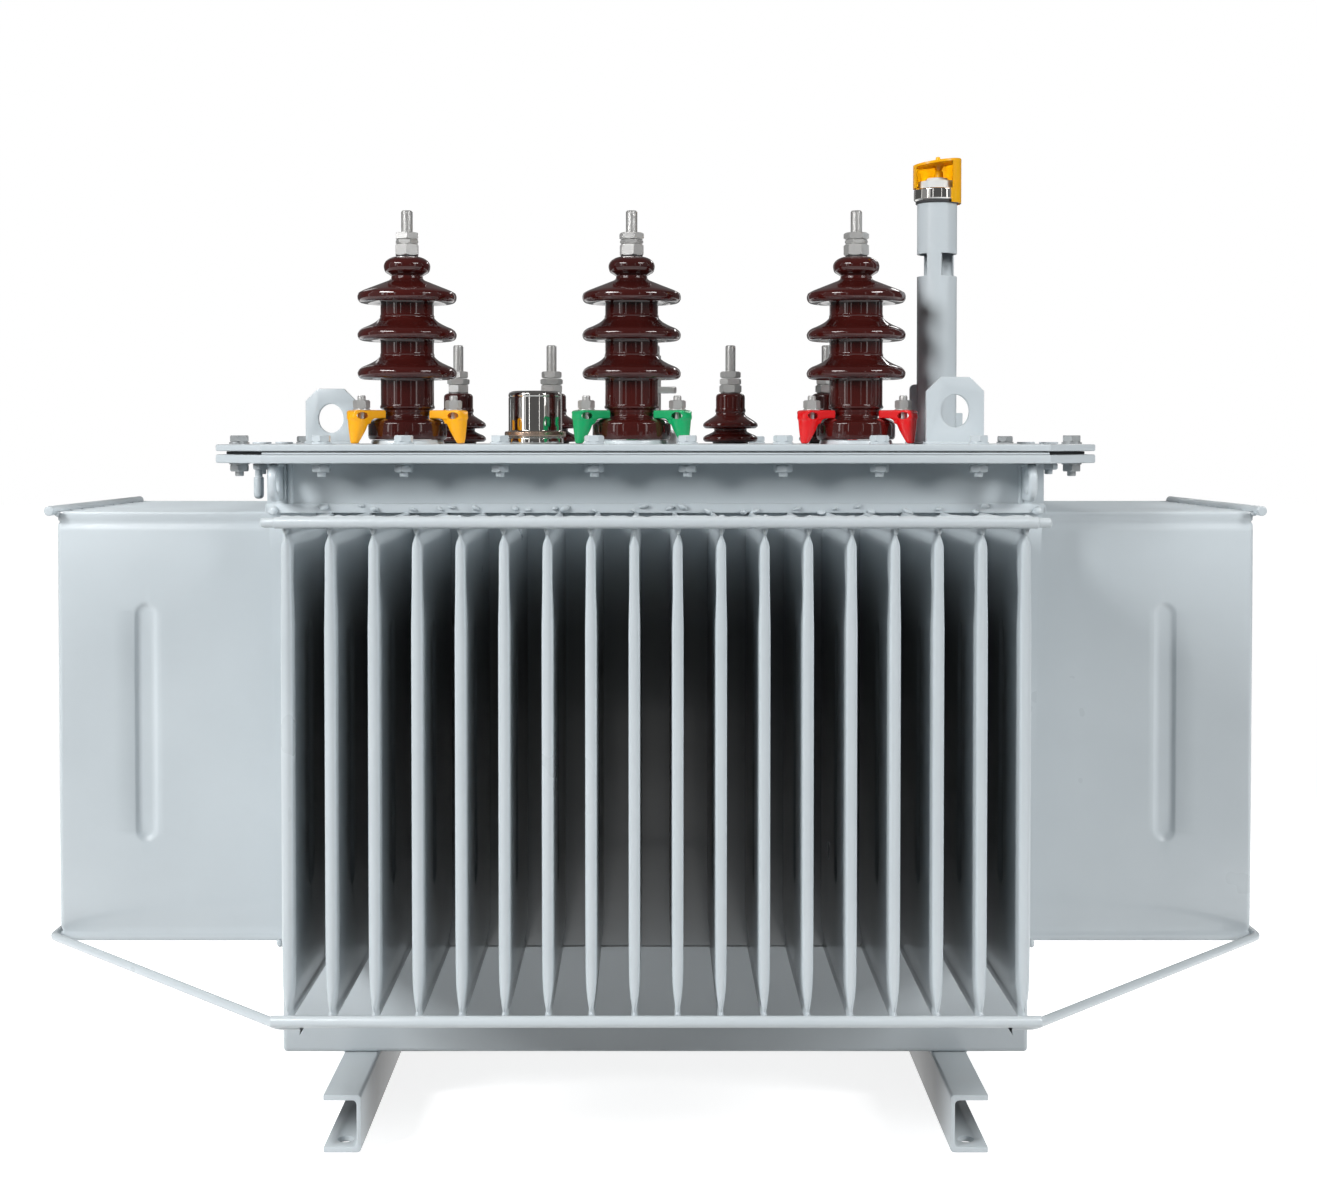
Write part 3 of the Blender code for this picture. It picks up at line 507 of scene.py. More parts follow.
# enamel of the feet, with painted shade on their faces under the tank
enamelOfFeetWithPaintedShade = paintedShadeFinish("paintedShadeFootEnamel", paintedShadeOfFeet)
brownGlaze = glazeFinish()
zincPlate = metalFinish("zincPlate", (0.76, 0.755, 0.74), (0.56, 0.56, 0.55), (0.24, 0.38), 0.7)
dullPlate = metalFinish("dullPlate", (0.47, 0.49, 0.50), (0.31, 0.33, 0.34), (0.30, 0.44), 0.6)
threadedPlate = threadFinish()
brightPlate = metalFinish(
    "brightPlate", (0.80, 0.785, 0.76), (0.72, 0.70, 0.67), (0.03, 0.07), grain=300.0, strength=0.03
)
bronzePlate = metalFinish("bronzePlate", (0.56, 0.42, 0.33), (0.44, 0.33, 0.26), (0.20, 0.32), 0.8)
blackRubber = plasticFinish("blackRubber", (0.022, 0.023, 0.025), (0.035, 0.035, 0.037), (0.5, 0.65))
palePlastic = plasticFinish("palePlastic", (0.66, 0.67, 0.66), (0.58, 0.59, 0.58), (0.3, 0.42))
amberPlastic = amberFinish()
clawColours = {
    "yellow": ((0.90, 0.42, 0.004), (0.84, 0.36, 0.004)),
    "green": ((0.003, 0.34, 0.115), (0.003, 0.28, 0.095)),
    "red": ((0.70, 0.006, 0.008), (0.60, 0.005, 0.008)),
}
clawPaints = {
    name: paintFinish(
        name + "CastPaint", *tones, peel=300.0, sag=0.8, dust=0.008, coat=0.3, rough=(0.22, 0.30)
    )
    for name, tones in clawColours.items()
}
print("finishes made:", len(bpy.data.materials))


# Corrugated walls

finShape = {
    "counts": (18, 9),
    "thickness": 0.012,
    "depth": 0.277,
    "pitch": 0.045,
    "tipRadius": 0.0055,
    "low": 0.1874,
    "high": 0.7080,
    "neckIn": 0.002,
    # height inside the end, and the share of the full thickness there
    "topSteps": (
        (0.0, 0.25), (0.0014, 0.46), (0.0042, 0.62), (0.0085, 0.58),
        (0.0110, 0.42), (0.0130, 0.33), (0.0165, 0.50), (0.0205, 0.80), (0.0250, 1.0),
    ),
    "bottomSteps": (
        (0.0, 0.28), (0.0015, 0.46), (0.0040, 0.56), (0.0080, 0.50), (0.0100, 0.40),
        (0.0120, 0.34), (0.0180, 0.47), (0.0260, 0.70), (0.0340, 0.89), (0.0420, 1.0),
    ),
    "topNeck": 0.0130,
    "bottomNeck": 0.0120,
    "grooveAt": 0.171,
    "grooveLow": 0.322,
    "grooveHigh": 0.585,
    "grooveReach": 0.0145,
    # distance from the groove's middle line, and the share of the thickness left
    "grooveSteps": ((0.0048, 0.28), (0.0080, 0.32), (0.0105, 0.55), (0.0128, 0.84)),
    "gridDepth": 0.030,
    "gridHeight": 0.036,
}


def cutAcross(places, axis):
    # a cut through the whole piece being edited at each place along one axis
    normal = [0.0, 0.0, 0.0]
    normal[axis] = 1.0
    for place in places:
        point = [0.0, 0.0, 0.0]
        point[axis] = place
        bpy.ops.mesh.select_all(action="SELECT")
        bpy.ops.mesh.bisect(plane_co=point, plane_no=normal)


def squeeze(piece, test, share):
    # narrows what passes the test towards the fin's middle plane
    if pick(piece, "VERT", test):
        bpy.ops.transform.resize(value=(share, 1.0, 1.0), center_override=(0.0, 0.0, 0.0))


def makeFin():
    size = finShape
    half = size["thickness"] / 2
    fin = addBox("fin", (-half, -size["depth"], size["low"]), (half, 0.001, size["high"]))
    roundEdges(
        fin,
        lambda middle, run: abs(run.z) > 0.9 and middle.y < -size["depth"] / 2,
        size["tipRadius"], 4,
    )
    grooveEnds = (size["grooveLow"], size["grooveHigh"])
    reach = size["grooveReach"]
    offsets = [step for step, _ in size["grooveSteps"]] + [reach]
    openEdit(fin)
    depths = [-size["gridDepth"] * i for i in range(1, int(size["depth"] / size["gridDepth"]) + 1)]
    depths = [d for d in depths if abs(d + size["grooveAt"]) > reach + 0.004]
    depths += [-size["grooveAt"] + side * step for step in offsets for side in (-1, 1)]
    cutAcross(sorted(depths + [-size["grooveAt"]]), 1)
    heights = [size["low"] + step for step, _ in size["bottomSteps"][1:]]
    heights += [size["high"] - step for step, _ in size["topSteps"][1:]]
    heights += [grooveEnds[0] - step for step in offsets] + [grooveEnds[1] + step for step in offsets]
    heights += list(grooveEnds)
    inner = size["low"] + 0.054
    while inner < size["high"] - 0.045:
        if min(abs(inner - end) for end in grooveEnds) > reach + 0.006:
            heights.append(inner)
        inner += size["gridHeight"]
    cutAcross(sorted(heights), 2)
    # the ends: a rolled bead, a pinch below it, then out to the full thickness
    levels = [(size["low"] + step, share) for step, share in size["bottomSteps"]]
    levels += [(size["high"] - step, share) for step, share in size["topSteps"]]
    for level, share in levels:
        squeeze(fin, lambda place: abs(place.z - level) < 0.0001, share)
    for level in (size["low"] + size["bottomNeck"], size["high"] - size["topNeck"]):
        pick(
            fin, "VERT",
            lambda place: abs(place.z - level) < 0.0001 and place.y < -size["depth"] + 0.008,
        )
        bpy.ops.transform.translate(value=(0.0, size["neckIn"], 0.0))
    # the pressed groove
    def fromGroove(place):
        level = min(max(place.z, grooveEnds[0]), grooveEnds[1])
        return math.hypot(place.y + size["grooveAt"], place.z - level)

    previous = -1.0
    for step, share in size["grooveSteps"]:
        squeeze(fin, lambda place: previous < fromGroove(place) <= step + 0.0002, share)
        previous = step + 0.0002
    closeEdit()
    dentFin(fin)
    smooth(fin, 50.0)
    return fin


dents = {
    # distance from the wall, distance below the top, how far in, and how wide
    "places": (
        (0.262, 0.040, 0.0012, 0.024), (0.240, 0.058, 0.0018, 0.030), (0.215, 0.078, 0.0014, 0.030),
        (0.020, 0.045, 0.0016, 0.030), (0.045, 0.070, 0.0014, 0.034), (0.255, 0.080, 0.0008, 0.024),
    ),
    "bottomPlaces": ((0.262, 0.040, 0.0006, 0.022), (0.025, 0.042, 0.0005, 0.022)),
}


def dentFin(fin):
    # creases run from the corners where the ends were pinched together
    size = finShape
    spots = [(d, size["high"] - h, far, wide) for d, h, far, wide in dents["places"]]
    spots += [(d, size["low"] + h, far, wide) for d, h, far, wide in dents["bottomPlaces"]]
    openEdit(fin, "VERT")
    for side in (-1, 1):
        for depth, height, far, wide in spots:
            target = Vector((side * size["thickness"] / 2, -depth, height))
            nearest = min(
                (vert.co for vert in bmesh.from_edit_mesh(fin.data).verts),
                key=lambda place: (place - target).length,
            ).copy()
            pick(fin, "VERT", lambda place: (place - nearest).length < 0.00001)
            bpy.ops.transform.translate(
                value=(-side * far, 0.0, 0.0), use_proportional_edit=True,
                use_proportional_connected=True, proportional_edit_falloff="SMOOTH", proportional_size=wide,
            )
    closeEdit()


def finSpots(along):
    # the middle of each fin, 0 along the front and back and 1 along the sides
    count = finShape["counts"][along]
    return [(i - (count - 1) / 2) * finShape["pitch"] for i in range(count)]


def makeFinWalls():
    fin = makeFin()
    lowFront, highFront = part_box("fins_front")
    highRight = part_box("fins_right")[1]
    tankDepth = -lowFront.y - finShape["depth"]
    tankLength = highRight.x - finShape["depth"]
    for face, along, wide, plane, turn in (
        ("front", 0, highFront.x, tankDepth, 0.0), ("back", 0, highFront.x, tankDepth, 180.0),
        ("right", 1, highRight.y, tankLength, 90.0), ("left", 1, highRight.y, tankLength, -90.0),
    ):
        row = copyPiece(fin, (finSpots(along)[0], 0.0, 0.0))
        useModifier(
            row, "ARRAY", use_relative_offset=False, use_constant_offset=True,
            constant_offset_displace=(finShape["pitch"], 0.0, 0.0), count=finShape["counts"][along],
        )
        sheet = addBox("sheet", (-wide, 0.0005, lowFront.z), (wide, 0.004, highFront.z))
        softEdges(sheet, 0.0012)
        row = joinPieces([row, sheet], face)
        twist = math.radians(turn)
        placePiece(row, (plane * math.sin(twist), -plane * math.cos(twist), 0.0), turn)
        smooth(row, 50.0)
        # the front and back rows take the enamel with painted shade between the fins
        handOver(row, face + "_fin_row", tankPaint if along else enamelOfRowsWithPaintedShade, "paint", "fins_" + face)
    bpy.data.objects.remove(fin)
    print("fin rows made")


makeFinWalls()


# Tie rods and braces

rodShape = {"radius": 0.006, "stubRadius": 0.005, "stub": 0.014, "endRound": 0.0016, "braceRadius": 0.005}


def addRod(name, start, end, radius, rounding):
    rod = addRound(name, radius, start, end, 24)
    run = (Vector(end) - Vector(start)).normalized()
    roundEdges(rod, lambda middle, along: abs(along.dot(run)) < 0.5, rounding, 3)
    return rod


def makeRods():
    stub = rodShape["stub"]
    for face, axis in (("front", 0), ("back", 0), ("left", 1), ("right", 1)):
        for level in ("top", "bottom"):
            node = f"{level}_rod_{face}"
            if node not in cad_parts:
                continue
            low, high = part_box(node)
            middle = (low + high) / 2
            # the full bar stops short of the stubs
            back = stub if (level == "top" and axis == 0) else 0.0
            start, end = middle.copy(), middle.copy()
            start[axis], end[axis] = low[axis] + back, high[axis] - back
            parts = [addRod(node, start, end, rodShape["radius"], rodShape["endRound"])]
            if back:
                outer, inner = start.copy(), end.copy()
                outer[axis], inner[axis] = low[axis], high[axis]
                parts.append(addRod("stub", outer, inner, rodShape["stubRadius"], 0.0035))
            rod = joinPieces(parts, node)
            smooth(rod, 50.0)
            handOver(rod, node + "_bar", tankPaint, "paint", node)
    for side in ("left", "right"):
        makeBrace(side)
    print("rods and braces made")


braceShape = {"lap": 0.025, "bend": 0.016, "steps": 6, "tuck": 0.0016}


def bendPath(corners, radius, steps):
    # the same path with each inner corner turned into an arc
    path = [Vector(corners[0])]
    for before, corner, after in zip(corners, corners[1:], corners[2:]):
        before, corner, after = Vector(before), Vector(corner), Vector(after)
        back = (before - corner).normalized()
        ahead = (after - corner).normalized()
        half = back.angle(ahead) / 2
        centre = corner + (back + ahead).normalized() * radius / math.sin(half)
        inset = radius / math.tan(half)
        start = (corner + back * inset - centre).normalized()
        finish = (corner + ahead * inset - centre).normalized()
        path += [centre + start.slerp(finish, i / steps) * radius for i in range(steps + 1)]
    path.append(Vector(corners[-1]))
    return path


def makeBrace(side):
    # a bent bar: along the side fins' tips, then in and down to lap under the front and back rods
    node = f"bottom_brace_{side}"
    low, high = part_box(node)
    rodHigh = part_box("bottom_rod_front")[1]
    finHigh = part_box("top_rod_right")[1]
    radius = rodShape["braceRadius"]
    outward = 1.0 if side == "right" else -1.0
    reach = max(abs(low.x), abs(high.x)) - radius
    rodEnd = rodHigh.x - rodShape["radius"]
    lapY = high.y - radius - braceShape["tuck"]
    lapZ = low.z + radius
    tipZ = high.z - radius
    tipY = finHigh.y - rodShape["radius"]
    corners = [
        (outward * (rodEnd - braceShape["lap"]), -lapY, lapZ),
        (outward * rodEnd, -lapY, lapZ),
        (outward * reach, -tipY, tipZ),
        (outward * reach, tipY, tipZ),
        (outward * rodEnd, lapY, lapZ),
        (outward * (rodEnd - braceShape["lap"]), lapY, lapZ),
    ]
    brace = barAlong(node, bendPath(corners, braceShape["bend"], braceShape["steps"]), radius, sides=6)
    roundEdges(brace, lambda middle, along: abs(middle.x - corners[0][0]) < 0.0002, 0.0018, 2)
    smooth(brace, 50.0)
    handOver(brace, node + "_bar", tankPaint, "paint", node)


makeRods()


# Cover, gasket and flange

plateShape = {
    "chamfer": 0.067, "edge": 0.0018, "gasketEdge": 0.0008, "barDeep": 0.012, "barGap": 0.0012,
    "coverThick": 0.008, "coverAbove": 0.012, "bossRadius": 0.044, "bossFoot": 0.0465,
}


def addPlate(name, low, high, chamfer, edge):
    plate = addBox(name, low, high)
    roundEdges(plate, lambda middle, run: abs(run.z) > 0.9, chamfer, 1)
    roundEdges(plate, lambda middle, run: abs(run.z) < 0.1, edge, 3)
    smooth(plate, 30.0)
    return plate


def makePlates():
    low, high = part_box("tank_flange")
    size = plateShape
    flange = addPlate("flange_plate", low, high, size["chamfer"], size["edge"])
    handOver(flange, "flange_plate", tankPaint, "paint", "tank_flange")
    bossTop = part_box("cover")[1].z
    plateTop = high.z + size["coverAbove"]
    low.z, high.z = plateTop - size["coverThick"], plateTop
    cover = addPlate("cover_plate", low, high, size["chamfer"], size["edge"])
    parts = [cover]
    for node in ("hv_left_insulator", "hv_middle_insulator", "hv_right_insulator"):
        centre = middleOf(node)
        outline = [
            (0.0, bossTop, 0.0), (size["bossRadius"], bossTop, 0.0010),
            (size["bossRadius"] + 0.0012, plateTop + 0.0008, 0.0),
            (size["bossFoot"], plateTop - 0.001, 0.0), (0.0, plateTop - 0.001, 0.0),
        ]
        parts.append(turnPiece("boss", outline, (centre.x, centre.y, 0.0), 64))
    cover = joinPieces(parts, "cover_plate")
    handOver(cover, "cover_plate", tankPaint, "paint", "cover")
    sealLow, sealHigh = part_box("cover_gasket")
    seal = addPlate("gasket_sheet", sealLow, sealHigh, size["chamfer"], size["gasketEdge"])
    handOver(seal, "gasket_sheet", blackRubber, "rubber", "cover_gasket")
    bars = []
    wide = high.x - size["chamfer"] - 0.001
    for way in (-1, 1):
        edges = sorted((way * (high.y - 0.0008), way * (high.y - size["barDeep"])))
        bar = addBox("bar", (-wide, edges[0], sealLow.z), (wide, edges[1], sealHigh.z - size["barGap"]))
        softEdges(bar, 0.0005)
        bars.append(bar)
    frameBars = joinPieces(bars, "gasket_frame_bars")
    handOver(frameBars, "gasket_frame_bars", tankPaint, "paint")
    print("cover, gasket and flange made")
    return plateTop


coverTop = makePlates()


# Bolts along the cover's edge

boltShape = {
    "across": 0.0198, "head": 0.008, "shank": 0.0051, "nut": 0.0082, "tail": 0.0056, "washer": 0.0118,
    "washerThick": 0.002, "headWasher": 0.0025, "lowHead": 0.0052, "edge": 0.025,
    "pin": (-0.4975, -0.088, 0.0062, 0.0046, 0.7560, 0.7470, 0.7196),
    "frontPlaces": (-0.387, -0.2915, -0.180, -0.071, 0.037, 0.1475, 0.259, 0.374),
    "endPlaces": (-0.212, -0.085, 0.055, 0.200),
    "turns": (2, 54, 5, 27, 50, 18, 33, 57),
}


def addHex(name, across, low, high, chamfer):
    # a hexagon with the round chamfer that a lathe leaves on its corners
    corner = across / 2 / math.cos(math.radians(30))
    piece = addRound(name, corner, (0, 0, low), (0, 0, high), 6)
    cone = turnPiece(
        "chamfer",
        [
            (0.0, high + 0.0001, 0.0), (across / 2 * 0.97, high + 0.0001, 0.0),
            (corner * 1.02, high - chamfer, 0.0), (corner * 1.02, low + chamfer, 0.0),
            (across / 2 * 0.97, low - 0.0001, 0.0), (0.0, low - 0.0001, 0.0),
        ],
        (0, 0, 0), 36,
    )
    carve(piece, cone, "INTERSECT")
    return piece


def makeBolt(headHigh):
    # head on the cover, nut and washer under the flange; z = 0 is the cover's top
    size = boltShape
    stack = 0.022
    head = addHex("head", size["across"], size["headWasher"], size["headWasher"] + headHigh, 0.0018)
    seat = addDisc("seat", size["washer"], touchGap, size["headWasher"], 0.0003, 0.0005)
    shank = addRound("shank", size["shank"], (0, 0, -0.0118), (0, 0, -0.0082), 20)
    top = -stack - size["washerThick"]
    bottom = top - size["nut"]
    plate = addDisc("washer", size["washer"], top, -stack - touchGap, 0.0004, 0.0004, steps=24)
    nut = addHex("nut", size["across"], bottom, top, 0.0018)
    tail = addDisc("tail", size["shank"], bottom - size["tail"], bottom, 0.0012, 0.0, steps=20)
    bolt = joinPieces([head, seat, shank, plate, nut, tail], "bolt")
    smooth(bolt, 30.0)
    return bolt


def makeBolts():
    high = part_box("tank_flange")[1]
    bolt, lowBolt = makeBolt(boltShape["head"]), makeBolt(boltShape["lowHead"] - boltShape["headWasher"])
    edgeX, edgeY = high.x - boltShape["edge"], high.y - boltShape["edge"]
    places = [(x, way * edgeY) for way in (-1, 1) for x in boltShape["frontPlaces"]]
    places += [(way * edgeX, y) for way in (-1, 1) for y in boltShape["endPlaces"]]
    turns = boltShape["turns"]
    copies, plated = [], []
    for i, (x, y) in enumerate(places):
        kind = bolt if abs(y) > 0.15 else lowBolt
        row = plated if abs(x) > 0.45 and abs(y) > 0.15 else copies
        row.append(copyPiece(kind, (x, y, coverTop), turns[i % len(turns)]))
    bpy.data.objects.remove(bolt)
    bpy.data.objects.remove(lowBolt)
    x, y, radius, neck, top, shoulder, end = boltShape["pin"]
    copies.append(turnPiece(
        "pin",
        [
            (0.0, top, 0.0), (neck, top, 0.0), (neck, shoulder, 0.0), (radius, shoulder - 0.0005, 0.0010),
            (radius, end, 0.0048), (0.0, end, 0.0),
        ],
        (x, y, 0.0), 24,
    ))
    row = joinPieces(copies, "cover_bolts")
    handOver(row, "cover_bolts", tankPaint, "paint")
    handOver(joinPieces(plated, "end_bolts"), "end_bolts", dullPlate, "zinc")
    print("cover bolts made:", len(places))


makeBolts()


# Lifting lugs

lugShape = {
    "chamfer": 0.017, "eyeWidth": 0.035, "eyeHeight": 0.040, "eyeDrop": 0.041, "edge": 0.0009,
    "tankEdge": 0.0038, "tankCorner": 0.020, "tankEye": 0.0115, "weld": 0.0028, "weldInset": 0.0006,
}


def makeCoverLug(side):
    node = f"cover_lug_{side}"
    low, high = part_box(node)
    middle = (low + high) / 2
    lug = addBox(node, low, high)
    roundEdges(
        lug, lambda place, run: abs(run.y) > 0.9 and place.z > middle.z, lugShape["chamfer"], 1
    )
    eye = addRound(
        "eye", 1.0, (middle.x, low.y - 0.01, 0.0), (middle.x, high.y + 0.01, 0.0), 48
    )
    openEdit(eye)
    bpy.ops.mesh.select_all(action="SELECT")
    bpy.ops.transform.resize(
        value=(lugShape["eyeWidth"] / 2, 1.0, lugShape["eyeHeight"] / 2),
        center_override=(middle.x, middle.y, 0.0),
    )
    bpy.ops.transform.translate(value=(0.0, 0.0, high.z - lugShape["eyeDrop"]))
    closeEdit()
    carve(lug, eye)
    softEdges(lug, lugShape["edge"], 2)
    smooth(lug, 35.0)
    handOver(lug, node + "_plate", tankPaint, "paint", node)
    inset = lugShape["weldInset"]
    base = coverTop + 0.0008
    corners = [
        (low.x - inset, low.y - inset, base), (high.x + inset, low.y - inset, base),
        (high.x + inset, high.y + inset, base), (low.x - inset, high.y + inset, base),
        (low.x - inset, low.y - inset, base),
    ]
    return weldSeam(node + "_weld", corners, lugShape["weld"])


def makeTankLug(face, side):
    node = f"tank_lug_{face}_{side}"
    low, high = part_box(node)
    outward = -1.0 if face == "front" else 1.0
    tip = low.y if face == "front" else high.y
    root = high.y if face == "front" else low.y
    middle = (low + high) / 2
    lug = addBox(node, low, high)
    roundEdges(
        lug,
        lambda place, run: abs(run.x) > 0.9 and abs(place.y - tip) < 0.001,
        lugShape["tankCorner"], 8,
    )
    eyeY = tip - outward * lugShape["tankCorner"]
    eye = addRound(
        "eye", lugShape["tankEye"], (low.x - 0.01, eyeY, middle.z), (high.x + 0.01, eyeY, middle.z), 40
    )
    carve(lug, eye)
    softEdges(lug, lugShape["tankEdge"], 4)
    smooth(lug, 35.0)
    handOver(lug, node + "_plate", tankPaint, "paint", node)
    beads = []
    for x in (low.x - 0.001, high.x + 0.001):
        corners = [
            (x, root, low.z + 0.002), (x, root, high.z - 0.002), (x, tip - outward * 0.012, high.z - 0.001),
        ]
        beads.append(weldSeam("bead", corners, lugShape["weld"] * 0.9))
    return joinPieces(beads, node + "_weld")


def makeLugs():
    seams = [makeCoverLug("left"), makeCoverLug("right")]
    for face in ("front", "back"):
        for side in ("left", "right"):
            seams.append(makeTankLug(face, side))
    for seam in seams:
        handOver(seam, seam.name, tankPaint, "paint")
    print("lugs made, with their welds")


makeLugs()


# Welds of the tank

tankWelds = {
    "bead": 0.0016, "rodNugget": 0.0042, "rodNuggetIn": 0.0058,
    "stripLow": 0.7075, "stripHigh": 0.7175, "stripProud": 0.0025,
    "fold": 0.0036, "foldAt": 0.430, "foldBend": 0.026, "blob": 0.0046, "corner": 0.0066,
    # share of foldAt, distance out from the face, and height: on the collar, and above the walls' foot
    "collarCorner": (1.045, 0.003, 0.7105), "wallCorner": (1.037, 0.002, 0.004),
    # drips on the strip: share left out, distance from the fin, lift and size
    "dripsOut": 0.12, "dripAside": (0.004, 0.010), "dripLift": (0.001, 0.008), "dripSize": (0.55, 1.05),
    # nuggets over the long and the side rods, and under the walls
    "nuggetUp": (0.0045, -0.0040), "nuggetDown": 0.0045,
    "rodBead": 0.0030, "rodBeadInset": 0.020, "rodBeadIn": 0.0052, "rodBeadUp": 0.0042, "rodBeadStep": 0.006,
}


def addNugget(place, radius, stretch):
    # a blob of weld, a little uneven
    bpy.ops.mesh.primitive_ico_sphere_add(subdivisions=2, radius=radius, location=place)
    nugget = bpy.context.object
    nugget.scale = [s * random.uniform(0.85, 1.2) for s in stretch]
    nugget.rotation_euler = [random.uniform(-0.5, 0.5) for _ in range(3)]
    settle(nugget)
    openEdit(nugget, "VERT")
    bpy.ops.mesh.select_all(action="SELECT")
    bpy.ops.transform.vertex_random(offset=radius * 0.12, uniform=1.0, seed=random.randint(0, 999))
    closeEdit()
    return nugget


def makeTankWelds():
    finLow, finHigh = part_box("fins_front")
    wallTop, wallLow = finHigh.z, finLow.z
    frontY = -finLow.y - finShape["depth"]
    rodY, rodX = -middleOf("top_rod_front").y, middleOf("top_rod_right").x
    seams = []
    collarX, collarY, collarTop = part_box("tank_collar")[1]
    size = tankWelds
    proud, low, high = size["stripProud"], size["stripLow"], size["stripHigh"]
    nuggets = []
    for way in (-1, 1):
        for wide, face, along in ((collarX, collarY, 0), (collarY, collarX, 1)):
            strip = addBox("strip", (-wide, 0.0, low), (wide, proud, high))
            softEdges(strip, 0.0010)
            if along:
                placePiece(strip, (way * face, 0.0, 0.0), -90.0 * way)
            else:
                placePiece(strip, (0.0, way * face, 0.0), 90.0 - 90.0 * way)
            smooth(strip, 30.0)
            seams.append(strip)
            ends = [[-wide, way * (face + 0.001), high], [wide, way * (face + 0.001), high]]
            if along:
                ends = [[y, x, z] for x, y, z in ends]
            seams.append(weldSeam("seam", ends, size["bead"]))
        for x in (-size["foldAt"], size["foldAt"]):
            face = way * (collarY - 0.0004)
            fold = barAlong(
                "fold",
                [(x, face, high + 0.0010), (x, face, high + size["foldBend"]), (x, face, collarTop - 0.0010)],
                size["fold"], sides=4,
            )
            seams.append(fold)
            share, out, level = size["collarCorner"]
            corner = (x * share, way * (collarY + out), level)
            nuggets.append(addNugget(corner, size["corner"], (1, 0.7, 0.8)))
            share, out, lift = size["wallCorner"]
            corner = (x * share, way * (frontY + out), wallLow + lift)
            nuggets.append(addNugget(corner, size["blob"], (0.8, 0.6, 1)))
    for along, face in ((0, collarY), (1, collarX)):
        for spot in finSpots(along):
            for way in (-1, 1):
                for side in (-1, 1):
                    if random.random() < size["dripsOut"]:
                        continue
                    lift = low + random.uniform(*size["dripLift"])
                    place = [spot + side * random.uniform(*size["dripAside"]), way * (face + proud), lift]
                    if along:
                        place = [place[1], place[0], lift]
                    share = random.uniform(*size["dripSize"])
                    nuggets.append(addNugget(place, size["blob"] * share, (1.3, 1.3, 0.7)))
    for along, depth in ((0, rodY), (1, rodX)):
        for spot in finSpots(along):
            for way in (-1, 1):
                for level in (wallTop + size["nuggetUp"][along], wallLow - size["nuggetDown"]):
                    back = way * (depth - size["rodNuggetIn"])
                    place = (back, spot, level) if along else (spot, back, level)
                    nuggets.append(addNugget(place, size["rodNugget"], (1.0, 1.0, 0.7)))
    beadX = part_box("top_rod_front")[1].x - size["rodBeadInset"]
    steps = int(2 * beadX / size["rodBeadStep"])
    for way in (-1, 1):
        points = [
            (
                -beadX + 2 * beadX * i / steps, way * (rodY - size["rodBeadIn"]),
                wallTop + size["rodBeadUp"] + random.uniform(-0.0006, 0.0006),
            )
            for i in range(steps + 1)
        ]
        radii = [random.uniform(0.65, 1.15) for _ in points]
        seams.append(barAlong("rod_bead", points, size["rodBead"], radii, sides=2))
    piece = joinPieces(seams, "tank_weld_seams")
    handOver(piece, "tank_weld_seams", tankPaint, "paint")
    piece = joinPieces(nuggets, "rod_weld_nuggets")
    smooth(piece, 60.0)
    handOver(piece, "rod_weld_nuggets", tankPaint, "paint")
    print("tank welds made")


makeTankWelds()


# Feet

footShape = {
    "web": 0.005, "flange": 0.0065, "fillet": 0.005, "corner": 0.0045, "edge": 0.0009,
    "hole": 0.009, "holeInset": 0.024, "weld": 0.0024,
}


def makeFoot(side):
    node = f"foot_channel_{side}"
    low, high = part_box(node)
    outward = 1.0 if side == "right" else -1.0
    web = low.x if side == "right" else high.x
    tip = high.x if side == "right" else low.x
    foot = addBox(node, low, high)
    roundEdges(
        foot, lambda place, run: abs(run.y) > 0.9 and abs(place.x - web) < 0.001, footShape["corner"], 4
    )
    inner = sorted((web + outward * footShape["web"], tip + outward * 0.02))
    hollow = addBox(
        "hollow",
        (inner[0], low.y - 0.02, low.z + footShape["flange"]),
        (inner[1], high.y + 0.02, high.z - footShape["flange"]),
    )
    roundEdges(hollow, lambda place, run: abs(run.y) > 0.9, footShape["fillet"], 4)
    carve(foot, hollow)
    x = (low.x + high.x) / 2
    for y in (low.y + footShape["holeInset"], high.y - footShape["holeInset"]):
        hole = addRound("hole", footShape["hole"], (x, y, low.z - 0.01), (x, y, low.z + 0.02), 32)
        carve(foot, hole)
    softEdges(foot, footShape["edge"], 2, 50.0)
    smooth(foot, 35.0)
    # the feet take the enamel with painted shade under the tank
    handOver(foot, node + "_section", enamelOfFeetWithPaintedShade, "paint", node)
    edge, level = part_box("tank_body")[1].y - 0.004, high.z + 0.0005
    lines = []
    for x in (low.x + 0.001, high.x - 0.001):
        lines.append(weldSeam("bead", [(x, -edge, level), (x, edge, level)], footShape["weld"]))
    weld = joinPieces(lines, node + "_weld")
    handOver(weld, node + "_weld", tankPaint, "paint")


for side in ("left", "right"):
    makeFoot(side)
print("feet made")


# Insulators: heights above the cover's top

